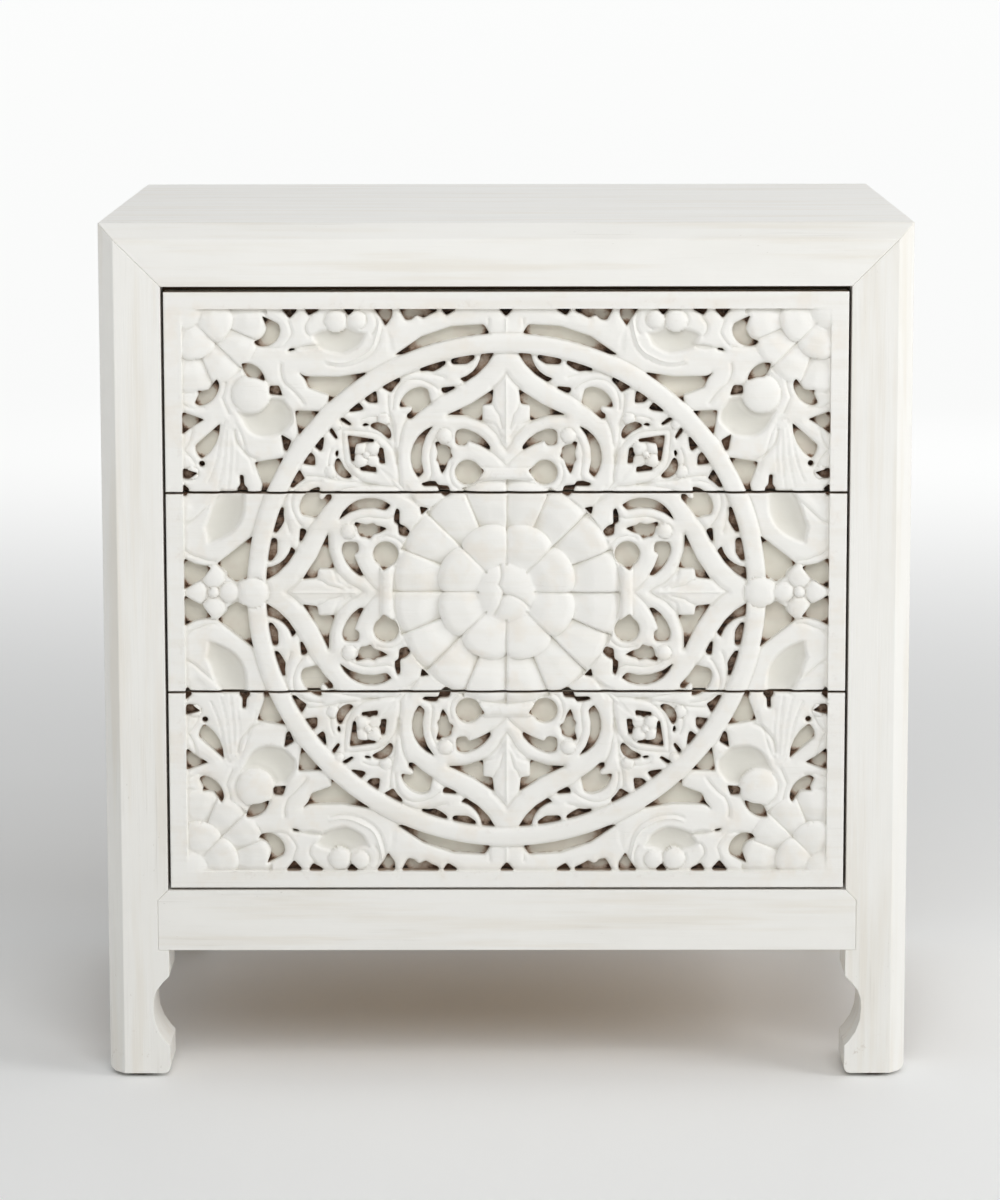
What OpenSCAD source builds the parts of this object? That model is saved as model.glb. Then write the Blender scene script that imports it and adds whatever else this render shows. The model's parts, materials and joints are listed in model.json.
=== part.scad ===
// Bedside chest of three drawers in painted solid wood. A mitred front frame stands on block
// legs, and the three drawer fronts carry one pierced and carved medallion between them.
// X is to the right, Y to the back, Z up. The origin is on the floor under the middle.

/* [Case] */
// Width over the legs
case_w = 610; // [590:5:760]
// Depth from the front face to the back face
case_d = 430; // [420:5:520]
// Height from the floor to the top face
case_h = 655; // [640:5:760]
// Thickness of the top board
top_t = 22; // [16:1:24]
// Thickness of the side boards
side_t = 14; // [10:1:18]
// How far the side boards lie behind the faces of the legs
side_inset = 4; // [2:0.5:8]
// Thickness of the back board
back_t = 6; // [4:1:10]
// Depth of the rebates and grooves that the side and back boards lie in
rebate = 9; // [8:1:12]
// Thickness of the board under the lowest drawer
dust_t = 9; // [6:1:12]
// Section of the strips under that board and of the blocks under the top
block_t = 18; // [12:1:20]

/* [Frame] */
// Width of the legs and height of the rails
frame_w = 47; // [45:1:56]
// Depth of the front legs and front rails
frame_d = 50; // [44:1:60]
// Depth of the back legs
leg_back_d = 47; // [40:1:60]
// Thickness of the back rails
back_rail_t = 22; // [18:1:30]
// Chamfer along the outer front edges of the frame
edge_cut = 12; // [4:1:16]
// How far the bottom rail and the dividers are let into the legs
housing = 8; // [5:1:10]
// Length of the tenons on the side and back rails
tenon_l = 15; // [10:1:18]
// Shoulder all round those tenons
shoulder = 4; // [2:0.5:5]

/* [Legs] */
// Clear height under the rails, above the foot pads
leg_clear = 97; // [90:1:130]
// Depth of the scallop in the inner side of each leg
bite_d = 12.5; // [6:0.5:18]
// Height of the scallop
bite_h = 54.5; // [44:0.5:60]
// Distance from the rail down to the scallop
bite_top = 20.5; // [12:0.5:26]
// Radius of the foot's lower corners
foot_r = 5; // [2:0.5:8]
// Diameter of the foot pads
pad_d = 36; // [24:1:38]
// Thickness of the foot pads
pad_t = 3; // [2:0.5:6]

/* [Drawer fronts] */
// Gap between one front and the next
front_gap = 2; // [0.8:0.1:3]
// Gap above the top front
top_gap = 4.2; // [1:0.1:6]
// Gap at each end of the fronts
end_gap = 2.2; // [1:0.1:4]
// Thickness of the pierced and carved panel
fret_t = 12; // [8:0.5:15]
// Thickness of the board behind the carved panel
backing_t = 12; // [10:1:15]

/* [Drawer boxes] */
// Clearance between a closed drawer and the back rails
back_clear = 24; // [10:1:60]
// Gap between the drawer sides and the legs
box_gap = 2.8; // [1.5:0.1:5]
// Thickness of the drawer sides
box_side_t = 12; // [10:1:16]
// Thickness of the drawer back
box_back_t = 12; // [9:1:16]
// Thickness of the drawer bottom
box_bottom_t = 5; // [4:0.5:8]
// Height of the bottom's groove above the lower edge of the sides
groove_z = 8; // [6:1:14]
// Depth of the grooves and housings in the drawer
groove_d = 5; // [3:0.5:7]
// Width of the stop block behind each drawer
stop_w = 60; // [40:1:100]
// Height of the stop block
stop_h = 40; // [30:1:60]
// Thickness of the stop block
stop_t = 13; // [10:1:20]
// How far the stop block stands up above the drawer back
stop_lap = 8; // [6:0.5:10]

/* [Runners] */
// Height of the dividers and runners
divider_h = 20; // [18:1:26]
// Width of the runners under the drawer sides
runner_w = 45; // [40:1:48]
// Height of the guides beside the drawer sides
guide_h = 30; // [20:1:60]
// Clearance under a drawer side
slide_gap = 0.3; // [0.2:0.05:0.6]
// Clearance beside a drawer side
guide_gap = 0.5; // [0.3:0.1:1.5]
// Clearance over a drawer side
lift_gap = 3; // [1.5:0.5:5]
// Gap between a closed front and the divider behind it
shut_gap = 0.4; // [0.3:0.1:1]

/* [Carving] */
// Width of the plain border at the ends of the fronts
border_x = 12.8; // [8:0.2:20]
// Width of the plain border above and below the carving
border_z = 12.4; // [8:0.2:20]
// Distance from the ring to the nearer border
ring_edge = 19; // [12:0.5:26]
// Width of the ring
ring_w = 14.5; // [8:0.5:18]
// Depth of the carved ground below the plain border
ground_d = 2.5; // [1:0.1:4]
// Depth of the outer row of petals below the plain border
petal_d = 1.1; // [0.5:0.1:2]
// Width of the cuts that part the petals
gouge_w = 1.2; // [0.6:0.1:2]
// Depth of the scooped leaves below the ground
scoop_d = 2.5; // [1:0.1:4]

/* [Fasteners] */
// Head diameter of the screws
head_d = 7; // [5:0.5:8]
// Shank diameter of the screws
shank_d = 4; // [3:0.5:4.5]
// Length of the screws
screw_l = 18; // [14:1:20]

/* [Hidden] */
$fn = 48;

white = [0.92, 0.91, 0.88];
raw_wood = [0.80, 0.68, 0.50];
ply = [0.78, 0.69, 0.55];
steel = [0.62, 0.62, 0.64];
felt = [0.20, 0.13, 0.10];
along_x = [1, 0, 0];
along_y = [0, 1, 0];

// Places that the driving sizes give
yf = -case_d / 2;
yb = case_d / 2;
xo = case_w / 2;
xi = xo - frame_w;
leg_top = case_h - top_t;
open_top = case_h - frame_w;
rail_z = pad_t + leg_clear;
open_bot = rail_z + frame_w;
upper_rail_z = leg_top - frame_w;
side_in = xo - side_inset - side_t;
frame_back = yf + frame_d;
leg_back_y = yb - leg_back_d;
back_rail_y = yb - back_rail_t;

// Drawer fronts, counted from 0 at the bottom
front_w = 2 * (xi - end_gap);
front_h = (open_top - open_bot - top_gap - 3 * front_gap) / 3;
pitch = front_h + front_gap;
function front_z(i) = open_bot + front_gap + i * pitch;
function split_z(i) = front_z(i) - front_gap / 2;

// Drawer boxes and what they run on
box_half = xi - box_gap;
box_in = box_half - box_side_t;
backing_y = yf + fret_t;
box_y0 = backing_y + backing_t;
box_y1 = back_rail_y - back_clear;
box_h = pitch - divider_h - slide_gap - lift_gap;
function run_z(i) = split_z(i) + divider_h / 2;
function box_z(i) = run_z(i) + slide_gap;
function box_top(i) = box_z(i) + box_h;
function floor_z(i) = box_z(i) + groove_z + box_bottom_t;
stop_y = box_y1 - box_back_t - stop_t;
divider_y = box_y0 + shut_gap;
dust_z = run_z(0) - divider_h - dust_t;

// Solid with flat faces between a low and a high corner
module board(lo, hi) translate(lo) cube(hi - lo);

// The same solid on the left and on the right
module both_sides() {
    children();
    mirror([1, 0, 0]) children();
}

// Board with a shouldered tenon at both ends
module tenoned(lo, hi, along) {
    shy = shoulder * ([1, 1, 1] - along);
    board(lo, hi);
    board(lo - tenon_l * along + shy, hi + tenon_l * along - shy);
}

// Outline drawn in X and Z, standing at y and d deep
module slab(y, d) translate([0, y + d, 0]) rotate([90, 0, 0]) linear_extrude(d) children();

// Countersunk screw, its head in the plane z = 0 and its point below
module screw() translate([0, 0, -screw_l]) {
    $fn = 24;
    cylinder(d = shank_d, h = screw_l);
    translate([0, 0, screw_l - (head_d - shank_d) / 2])
        cylinder(d1 = shank_d, d2 = head_d, h = (head_d - shank_d) / 2);
}

// Outlines whose edges are arcs. A corner is [x, y, rise], and rise is how far the edge that
// leaves the corner bows out of the outline, or into it where it is negative
arc_step = 18;
function total(v, i = 0) = i < len(v) ? v[i] + total(v, i + 1) : 0;
function flat(c) = [c[0], c[1]];
function bow(p, q, rise) = let (
        c = norm(q - p),
        h = abs(rise),
        half = 2 * atan(2 * h / c),
        r = c / (2 * sin(half)),
        n = max(2, ceil(2 * half / arc_step)),
        u = (q - p) / c,
        v = sign(rise) * [u[1], -u[0]]
    ) [for (i = [0:n - 1]) let (a = half * (2 * i / n - 1))
        (p + q) / 2 + u * r * sin(a) + v * (r * cos(a) - r + h)];
function side(c, i, turn) = let (
        p = flat(c[i]),
        q = flat(c[(i + 1) % len(c)]),
        rise = len(c[i]) > 2 ? turn * c[i][2] : 0
    ) rise == 0 ? [p] : bow(p, q, rise);
function turning(c) = sign(total([for (i = [0:len(c) - 1]) cross(flat(c[i]), flat(c[(i + 1) % len(c)]))]));
module arcs(c) polygon([for (i = [0:len(c) - 1]) each side(c, i, turning(c))]);

// Legs, with a horseshoe scallop and an eased foot
round_corner = 1 - cos(45);
module leg_outline(top_out, top_in) {
    e = frame_w;
    r = foot_r;
    high = leg_clear - bite_top;
    low = high - bite_h;
    translate([-xo, pad_t]) arcs([
        [0, r, round_corner * r], [r, 0],
        [e - r, 0, round_corner * r], [e, r],
        [e, low], [e - bite_d * 0.25, low + bite_d * 0.25, -bite_d * 0.2],
        [e - bite_d, low + bite_h * 0.53, -bite_d * 0.2],
        [e - bite_d * 0.4, high - bite_d * 0.4], [e, high],
        [e, top_in - pad_t], [0, top_out - pad_t]
    ]);
}

module leg_front() color(white) difference() {
    slab(yf, frame_d) leg_outline(case_h, open_top);
    translate([-xo, yf, 0]) linear_extrude(case_h) polygon([[0, 0], [edge_cut, 0], [0, edge_cut]]);
    bottom_rail();
    divider(1);
    divider(2);
    kicker_rail();
    sill_strip();
    side_board();
    side_rail(upper_rail_z);
    side_rail(rail_z);
}
module leg_front_left() leg_front();
module leg_front_right() mirror([1, 0, 0]) leg_front();

module leg_back() color(white) difference() {
    slab(leg_back_y, leg_back_d) leg_outline(leg_top, leg_top);
    back_sheet();
    back_board_screws();
    side_board();
    side_rail(upper_rail_z);
    side_rail(rail_z);
    back_rail(upper_rail_z);
    back_rail(rail_z);
}
module leg_back_left() leg_back();
module leg_back_right() mirror([1, 0, 0]) leg_back();

// The top rail is mitred into the legs through its whole height
module top_rail() color(white) difference() {
    slab(yf, frame_d) polygon([[-xo, case_h], [xo, case_h], [xi, open_top], [-xi, open_top]]);
    translate([-xo, yf, case_h]) rotate([90, 0, 90])
        linear_extrude(case_w) polygon([[0, 0], [edge_cut, 0], [0, -edge_cut]]);
}

// The bottom rail is let into the legs, with a short mitre at its upper corners
module bottom_rail() color(white) slab(yf, frame_d) polygon([
    [-xi, open_bot], [-xi - housing, open_bot - housing], [-xi - housing, rail_z],
    [xi + housing, rail_z], [xi + housing, open_bot - housing], [xi, open_bot]
]);

module top_board() color(white) board([-xo, frame_back, leg_top], [xo, yb, case_h]);

// Sides, each a board in the grooves of a frame of two legs and two rails
module side_board() color(white) board(
    [-xo + side_inset, frame_back - rebate, open_bot - rebate],
    [-side_in, leg_back_y + rebate, upper_rail_z + rebate]);
module side_board_left() side_board();
module side_board_right() mirror([1, 0, 0]) side_board();

module side_rail(z) tenoned([-xo, frame_back, z], [-side_in, leg_back_y, z + frame_w], along_y);
module grooved_side_rail(z) color(white) difference() {
    side_rail(z);
    side_board();
}
module side_rail_upper_left() grooved_side_rail(upper_rail_z);
module side_rail_upper_right() mirror([1, 0, 0]) grooved_side_rail(upper_rail_z);
module side_rail_lower_left() grooved_side_rail(rail_z);
module side_rail_lower_right() mirror([1, 0, 0]) grooved_side_rail(rail_z);

// Back, a thin board screwed into a rebate in the back legs and rails
module back_rail(z) tenoned([-xi, back_rail_y, z], [xi, yb, z + frame_w], along_x);
module rebated_back_rail(z) color(white) difference() {
    back_rail(z);
    back_sheet();
    back_board_screws();
}
module back_rail_upper() rebated_back_rail(upper_rail_z);
module back_rail_lower() rebated_back_rail(rail_z);

module back_sheet() board(
    [-xi - rebate, yb - back_t, open_bot - rebate], [xi + rebate, yb, upper_rail_z + rebate]);
module back_board() color(ply) difference() {
    back_sheet();
    back_board_screws();
}
module back_board_screws() color(steel) {
    low = open_bot - rebate / 2;
    high = upper_rail_z + rebate / 2;
    rows = [for (x = [-xi / 2, 0, xi / 2], z = [low, high]) [x, z]];
    posts = [for (x = [-xi - rebate / 2, xi + rebate / 2], t = [0.2, 0.5, 0.8]) [x, low + t * (high - low)]];
    for (p = concat(rows, posts)) translate([p[0], yb, p[1]]) rotate([-90, 0, 0]) screw();
}

// Bottom of the case, notched round the back legs
module dust_board() color(ply) translate([0, 0, dust_z]) linear_extrude(dust_t) polygon([
    [-side_in, frame_back], [side_in, frame_back], [side_in, leg_back_y], [xi, leg_back_y],
    [xi, back_rail_y], [-xi, back_rail_y], [-xi, leg_back_y], [-side_in, leg_back_y]
]);
module dust_board_ledgers() color(raw_wood) {
    z = dust_z - block_t;
    both_sides() board([side_in - block_t, frame_back, z], [side_in, leg_back_y, dust_z]);
    board([-xi, frame_back, z], [xi, frame_back + block_t, dust_z]);
    board([-xi, back_rail_y - block_t, z], [xi, back_rail_y, dust_z]);
}
module glue_blocks() color(raw_wood) both_sides()
    for (t = [0.1, 0.5, 0.9]) let (y = frame_back + t * (leg_back_y - frame_back))
        board([side_in - block_t, y - block_t, leg_top - block_t], [side_in, y + block_t, leg_top]);

// Strips across the opening, hidden behind the fronts
module strip(z0, z1) color(raw_wood)
    board([-xi - housing, divider_y, z0], [xi + housing, frame_back, z1]);
module divider(i) strip(split_z(i) - divider_h / 2, split_z(i) + divider_h / 2);
module divider_upper() divider(2);
module divider_lower() divider(1);
module kicker_rail() strip(split_z(3) - divider_h / 2, open_top);
module sill_strip() strip(open_bot, run_z(0));

// Runners carry the drawer sides, guides keep them straight, and kickers stop them tipping
module side_strip(x, z0, z1) color(raw_wood)
    both_sides() board([x, frame_back, z0], [side_in, leg_back_y, z1]);
module runners(i) side_strip(side_in - runner_w, run_z(i) - divider_h, run_z(i));
module guides(i) side_strip(box_half + guide_gap, run_z(i), run_z(i) + guide_h);
module runners_top() runners(2);
module runners_middle() runners(1);
module runners_bottom() runners(0);
module guides_top() guides(2);
module guides_middle() guides(1);
module guides_bottom() guides(0);
module kicker_strips() side_strip(side_in - runner_w, split_z(3) - divider_h / 2, open_top);

module foot_pads() color(felt) both_sides()
    for (y = [yf + frame_d / 2, yb - leg_back_d / 2])
        translate([xo - frame_w / 2, y, 0]) cylinder(d = pad_d, h = pad_t);

// The carving is drawn about its own centre, X to the right and Y up. It is symmetrical on
// both axes, and inside the ring on the diagonals as well
carving_z = front_z(1) + front_h / 2;
field_x = front_w / 2 - border_x;
field_y = (3 * front_h + 2 * front_gap) / 2 - border_z;
ring_r = min(field_x, field_y) - ring_edge;

// Its outlines are drawn for a ring of this radius and a field of this half size. They are
// stretched with the ring inside it, and with the field outside it
drawn_ring = 196;
drawn_field = [243, 215];
ring_k = [1, 1] * ring_r / drawn_ring;
field_k = [field_x / drawn_field[0], field_y / drawn_field[1]];
function fit(p, k) = [p[0] * k[0], p[1] * k[1], len(p) > 2 ? p[2] * k[1] : 0];
module fitted(c, k) arcs([for (p = c) fit(p, k)]);
module inner(c) fitted(c, ring_k);
module outer(c) fitted(c, field_k);
module round_hole(p, r, k) translate(fit(p, k)) circle(r = r * k[1]);

module fourfold() {
    children();
    mirror([1, 0]) children();
    mirror([0, 1]) children();
    rotate(180) children();
}
module eightfold() for (a = [0:90:270]) rotate(a) {
    children();
    mirror([1, 0]) children();
}

// Slots that follow the inside of the ring
module ring_slots() {
    inner([[-64.5, 167.3, -0.6], [-54.5, 167, 0.4], [-45, 173], [-46.5, 182], [-66, 176]]);
    inner([[-41.5, 174], [-40, 172.4], [-29.5, 172.8], [-23.3, 177], [-24, 184], [-41, 180]]);
    inner([[-8.3, 182, 2.6], [-31.2, 158.7], [-35, 162, -4.5], [-18.7, 182]]);
    inner([[-93, 155], [-86.2, 151.2, -0.6], [-79, 160.3], [-80.5, 166], [-96, 160]]);
    inner([[-105.8, 146], [-103.7, 143.7], [-96.2, 143.3], [-97, 150.5], [-98.5, 156], [-109, 150]]);
    inner([[-117.4, 136.6], [-108.7, 137.8], [-106.6, 139.5], [-110, 143.4], [-111, 148], [-121, 141]]);
    inner([[-124.7, 130.5], [-117.4, 126.2], [-115.8, 127.8], [-122, 132.8], [-124.5, 132]]);
}

// Pointed arch at the top, with its scrolls and the leaf between them
module arch() {
    inner([[-48.7, 155.3], [-38, 156.2], [-38.3, 154.3], [-46.2, 150.3], [-48.5, 152]]);
    inner([[-9.5, 154.1, -1.5], [-44.5, 134.5, -2], [-17.8, 129.5], [-18, 142], [-10.8, 142.8]]);
    inner([[-80.3, 141, 3], [-67, 155.3, 1], [-58.7, 153.7], [-56.2, 143.3, -0.6], [-71.2, 131.2],
        [-74.5, 131.6], [-74.5, 135.3, -0.8], [-70.3, 139.5], [-72, 141.2], [-79.5, 139.9]]);
    inner([[-38, 112.5, 0.6], [-37.8, 122.3, 1], [-29.5, 123.7, 2], [-12, 110.8], [-12.4, 107.5, -0.6],
        [-28.7, 115], [-30.3, 111.7, 0.8]]);
    inner([[-53.7, 114], [-50.5, 114.8], [-49.7, 112.4, 1], [-41.6, 109.5], [-42, 106.7], [-40, 102.9],
        [-43.7, 100.4, 0.8], [-48.3, 89.6, 0.5], [-50.8, 98.3], [-52.8, 100], [-51.2, 105.5]]);
    round_hole([-29, 91], 9.5, ring_k);
    inner([[-24, 98], [-16.2, 92.9], [-21, 86]]);
    inner([[-64.2, 82.6, 0.8], [-53, 84.6], [-51.5, 81.6], [-43.5, 81], [-41.7, 75], [-46.3, 72.4],
        [-50.5, 76.5], [-51.8, 80.6], [-62.5, 80.3]]);
}

// Pointed oval on the diagonal, with a crescent on each side
module oval() {
    inner([[-119.3, 119.3], [-99, 116.3], [-99.5, 113.8, -0.5], [-112.8, 112.8]]);
    inner([[-95.6, 110], [-95.4, 106.2], [-97.3, 104], [-95.2, 101.8], [-95.5, 97.8], [-90.8, 97.4],
        [-92.4, 110]]);
    inner([[-108.5, 127], [-105.3, 128.8], [-102.2, 127], [-107, 125.6]]);
    inner([[-101.8, 127.5, 6], [-86.3, 117.5], [-88.3, 115.8, -1.3], [-102, 125.3]]);
    inner([[-54.9, 126.2, 10.6], [-66.2, 86.7], [-62, 90.8, -5]]);
    inner([[-65.3, 65.3], [-58.5, 64], [-61.2, 61.2]]);
}

// Notches along the top and side of the field
module field_notches() {
    outer([[-169, 216], [-162, 207], [-155.8, 214], [-156.5, 216]]);
    outer([[-151.5, 216], [-147.7, 209.3], [-140, 213.6], [-139.6, 216]]);
    outer([[-122.9, 216], [-117.7, 209.3], [-113.6, 213.6], [-113.4, 216]]);
    outer([[-99.9, 216], [-92.8, 206.2], [-90.3, 201.2], [-85.3, 208.7], [-84.9, 216]]);
    outer([[-80.8, 216], [-75.3, 205.8], [-70.5, 206.4, -0.4], [-66.5, 210], [-62, 207.3, -0.5],
        [-52, 212.4], [-51, 216]]);
    outer([[-49.6, 216], [-44.9, 209.3], [-38, 213.6], [-37.6, 216]]);
    outer([[-6.4, 216], [0, 208.5], [6.4, 216]]);
    outer([[-244, 137.5], [-226.4, 131.2, -1], [-244, 119]]);
    outer([[-244, 95], [-231.5, 91], [-238.5, 86], [-244, 86.5]]);
    outer([[-244, 83.5], [-238.2, 78.5], [-241, 73], [-244, 73]]);
    outer([[-244, 26.5], [-235.2, 21.7], [-222.3, 19.2], [-229.3, 10], [-244, 1.5]]);
}

// Leaves in the corners, outside the ring
module corner_leaves() {
    outer([[-83.3, 179.9, 7.3], [-16.6, 202.8], [-12.4, 196], [-40, 180]]);
    outer([[-182.7, 209.5], [-179, 200, -2.4], [-189.3, 190], [-187, 186.8, 5.5], [-168.9, 198.7],
        [-170.2, 203.3]]);
    outer([[-163.3, 182.4], [-157.8, 183.6], [-158.2, 185], [-162.3, 184.8]]);
    outer([[-198.5, 173.7, 5.2], [-180.6, 160, -1], [-193.9, 163.3, 0.8]]);
    outer([[-177.3, 156.6], [-170.2, 157], [-167.5, 149.1], [-177.7, 150.3]]);
    outer([[-154.8, 166.6, -0.8], [-147.7, 163.7], [-126, 163.3], [-104.5, 166.7], [-120, 140],
        [-133.5, 144], [-132.7, 149.5], [-148.5, 155.3, -1]]);
    outer([[-216.8, 162.4], [-214.8, 158.7, 4.3], [-230.2, 141.2], [-233.9, 143.3], [-230.2, 150.8],
        [-231.8, 153.3, -0.5], [-222.7, 153.7]]);
    outer([[-158.5, 138], [-139, 137.4], [-140, 122], [-155.5, 118]]);
    outer([[-214.6, 128.3], [-233.5, 111.7, 1.5], [-228.9, 101.3, 4]]);
    round_hole([-228.6, 97.8], 2.2, field_k);
    outer([[-169, 120], [-161, 115.3], [-164.8, 106.7], [-167, 108]]);
    outer([[-189.3, 98.8], [-166, 102.5], [-175, 81.5], [-178.4, 76], [-184.6, 76], [-183, 82],
        [-187.7, 94.2]]);
    outer([[-202.3, 76], [-202.3, 79.6], [-200, 81.5], [-200.4, 89.5], [-197.4, 89.3], [-197, 81.5],
        [-194.4, 79.6], [-194.4, 76]]);
    outer([[-218.6, 21.4], [-191, 43], [-190, 9.8], [-199.5, 9.8], [-203.5, 7.2], [-210.8, 11.6],
        [-210.6, 14.5]]);
}

module piercings() {
    intersection() {
        circle(r = ring_r - ring_w);
        eightfold() {
            ring_slots();
            arch();
            oval();
        }
    }
    difference() {
        intersection() {
            square(2 * [field_x, field_y], center = true);
            fourfold() {
                field_notches();
                corner_leaves();
            }
        }
        circle(r = ring_r);
    }
}

// Relief. The border, the ring, the flowers and the domes stand above a sunk ground, and the
// large leaves are scooped out of it. A flower has a bud, a row of eight petals with rounded
// tips and a row of sixteen, with these shares of its radius
flower_r = 85.5 * ring_k[1];
corner_flower_r = 64 * field_k[1];
bud_share = 0.25;
tip_share = 0.55;
tip_bow = 0.115;
inner_petals = 8;
outer_petals = 16;
// Flat step round the ring, the flowers and the field, and how far a cut starts before the face
ledge = 0.6;
proud = 1;

// In the middle of the field and at its corners
module flower_places() {
    children(0);
    for (x = [-1, 1], y = [-1, 1]) translate([x * field_x, y * field_y]) children(1);
}
module ring(r, w) difference() {
    circle(r = r);
    circle(r = r - w);
}
module inner_row(r) arcs([for (i = [1:inner_petals]) let (a = i * 360 / inner_petals)
    r * [tip_share * cos(a), tip_share * sin(a), tip_bow]]);
module rays(count, low, high) for (i = [1:count])
    rotate(i * 360 / count) translate([low, -gouge_w / 2]) square([high - low, gouge_w]);
module sunk_row(r) difference() {
    circle(r = r + ledge);
    inner_row(r);
}
module inner_cuts(r) {
    ring(bud_share * r + gouge_w, gouge_w);
    rays(inner_petals, bud_share * r, tip_share * r - gouge_w);
}
module outer_cuts(r) rays(outer_petals, r * (tip_share + tip_bow), r + ledge);

module field() square(2 * [field_x + ledge, field_y + ledge], center = true);
module ground() difference() {
    field();
    ring(ring_r - ledge, ring_w - 2 * ledge);
    flower_places() {
        circle(r = flower_r);
        circle(r = corner_flower_r);
    }
}

// Cut into the front of the panels, down to a depth below the border
module cut(depth) slab(yf - proud, depth + proud) translate([0, carving_z]) intersection() {
    field();
    children();
}

// Low dome that bulges forwards from the ground to the level of the border
module dome(p, r, k) translate([p[0] * k[0], yf + ground_d, carving_z + p[1] * k[1]]) rotate([90, 0, 0])
    rotate_extrude($fn = 32) polygon([
        [0, -proud], [r, -proud], for (a = [0:30:60]) [r * cos(a), ground_d * sin(a)], [0, ground_d]
    ]);
module domes() {
    for (s = [-1, 1]) {
        dome([s * (drawn_ring - ring_w / 2), 0], 12, ring_k);
        dome([s * 235, 0], 7.5, field_k);
        dome([s * 208, 0], 7, field_k);
        for (t = [-1, 1]) {
            dome([s * 191, t * 150.5], 14, field_k);
            dome([s * 127, t * 205], 8, field_k);
            dome([s * 112, t * 206], 6.5, field_k);
            dome([s * 221, t * 12], 8, field_k);
        }
    }
}

// Round hollow of a scooped leaf, r wide where it meets the ground
module scoop(p, r) {
    ball = (r * r + scoop_d * scoop_d) / (2 * scoop_d);
    translate([p[0] * field_k[0], yf + ground_d + scoop_d - ball, carving_z + p[1] * field_k[1]]) sphere(ball);
}
module scoops() for (s = [-1, 1], t = [-1, 1]) {
    scoop([s * 172, t * 131], 13);
    scoop([s * 124, t * 190], 10.5);
    scoop([s * 210, t * 62], 13);
}

// Drawers
module front_outline(i) translate([-front_w / 2, front_z(i)]) square([front_w, front_h]);
module fret_panel(i) color(white) difference() {
    union() {
        difference() {
            slab(yf, fret_t) front_outline(i);
            cut(ground_d) ground();
            scoops();
        }
        intersection() {
            domes();
            slab(yf, fret_t) front_outline(i);
        }
    }
    cut(petal_d) flower_places() {
        sunk_row(flower_r);
        sunk_row(corner_flower_r);
    }
    cut(2 * petal_d) flower_places() {
        outer_cuts(flower_r);
        outer_cuts(corner_flower_r);
    }
    cut(petal_d) flower_places() {
        inner_cuts(flower_r);
        inner_cuts(corner_flower_r);
    }
    slab(yf - proud, fret_t + 2 * proud) translate([0, carving_z]) piercings();
}
module front_board(i) color(white) difference() {
    slab(backing_y, backing_t) front_outline(i);
    both_sides() drawer_side(i);
    bottom_sheet(i);
}
module drawer_side(i) board([-box_half, box_y0 - groove_d, box_z(i)], [-box_in, box_y1, box_top(i)]);
module grooved_side(i) color(raw_wood) difference() {
    drawer_side(i);
    bottom_sheet(i);
    board([-box_in - groove_d, box_y1 - box_back_t, floor_z(i)], [-box_in, box_y1, box_top(i)]);
}
module drawer_back(i) color(raw_wood) difference() {
    board([-box_in - groove_d, box_y1 - box_back_t, floor_z(i)], [box_in + groove_d, box_y1, box_top(i)]);
    drawer_screws(i);
}
module bottom_sheet(i) board(
    [-box_in - groove_d, box_y0 - groove_d, floor_z(i) - box_bottom_t],
    [box_in + groove_d, box_y1, floor_z(i)]);
module drawer_bottom(i) color(ply) difference() {
    bottom_sheet(i);
    drawer_screws(i);
}
module stop_block(i) color(raw_wood) difference() {
    z = box_top(i) + stop_lap;
    board([-stop_w / 2, stop_y, z - stop_h], [stop_w / 2, stop_y + stop_t, z]);
    drawer_screws(i);
}
module drawer_screws(i) color(steel) {
    for (x = [-0.8, 0, 0.8] * box_in)
        translate([x, box_y1 - box_back_t / 2, floor_z(i) - box_bottom_t]) rotate([180, 0, 0]) screw();
    for (x = [-stop_w / 3, stop_w / 3])
        translate([x, stop_y, box_top(i) - stop_h / 3]) rotate([90, 0, 0]) screw();
}

module fret_panel_top() fret_panel(2);
module fret_panel_middle() fret_panel(1);
module fret_panel_bottom() fret_panel(0);
module front_board_top() front_board(2);
module front_board_middle() front_board(1);
module front_board_bottom() front_board(0);
module drawer_side_left_top() grooved_side(2);
module drawer_side_left_middle() grooved_side(1);
module drawer_side_left_bottom() grooved_side(0);
module drawer_side_right_top() mirror([1, 0, 0]) grooved_side(2);
module drawer_side_right_middle() mirror([1, 0, 0]) grooved_side(1);
module drawer_side_right_bottom() mirror([1, 0, 0]) grooved_side(0);
module drawer_back_top() drawer_back(2);
module drawer_back_middle() drawer_back(1);
module drawer_back_bottom() drawer_back(0);
module drawer_bottom_top() drawer_bottom(2);
module drawer_bottom_middle() drawer_bottom(1);
module drawer_bottom_bottom() drawer_bottom(0);
module stop_block_top() stop_block(2);
module stop_block_middle() stop_block(1);
module stop_block_bottom() stop_block(0);
module drawer_screws_top() drawer_screws(2);
module drawer_screws_middle() drawer_screws(1);
module drawer_screws_bottom() drawer_screws(0);

top_board();
top_rail();
bottom_rail();
leg_front_left();
leg_front_right();
leg_back_left();
leg_back_right();
side_board_left();
side_board_right();
side_rail_upper_left();
side_rail_upper_right();
side_rail_lower_left();
side_rail_lower_right();
back_rail_upper();
back_rail_lower();
back_board();
back_board_screws();
dust_board();
dust_board_ledgers();
glue_blocks();
divider_upper();
divider_lower();
kicker_rail();
sill_strip();
runners_top();
runners_middle();
runners_bottom();
guides_top();
guides_middle();
guides_bottom();
kicker_strips();
foot_pads();
fret_panel_top();
fret_panel_middle();
fret_panel_bottom();
front_board_top();
front_board_middle();
front_board_bottom();
drawer_side_left_top();
drawer_side_left_middle();
drawer_side_left_bottom();
drawer_side_right_top();
drawer_side_right_middle();
drawer_side_right_bottom();
drawer_back_top();
drawer_back_middle();
drawer_back_bottom();
drawer_bottom_top();
drawer_bottom_middle();
drawer_bottom_bottom();
stop_block_top();
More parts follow.
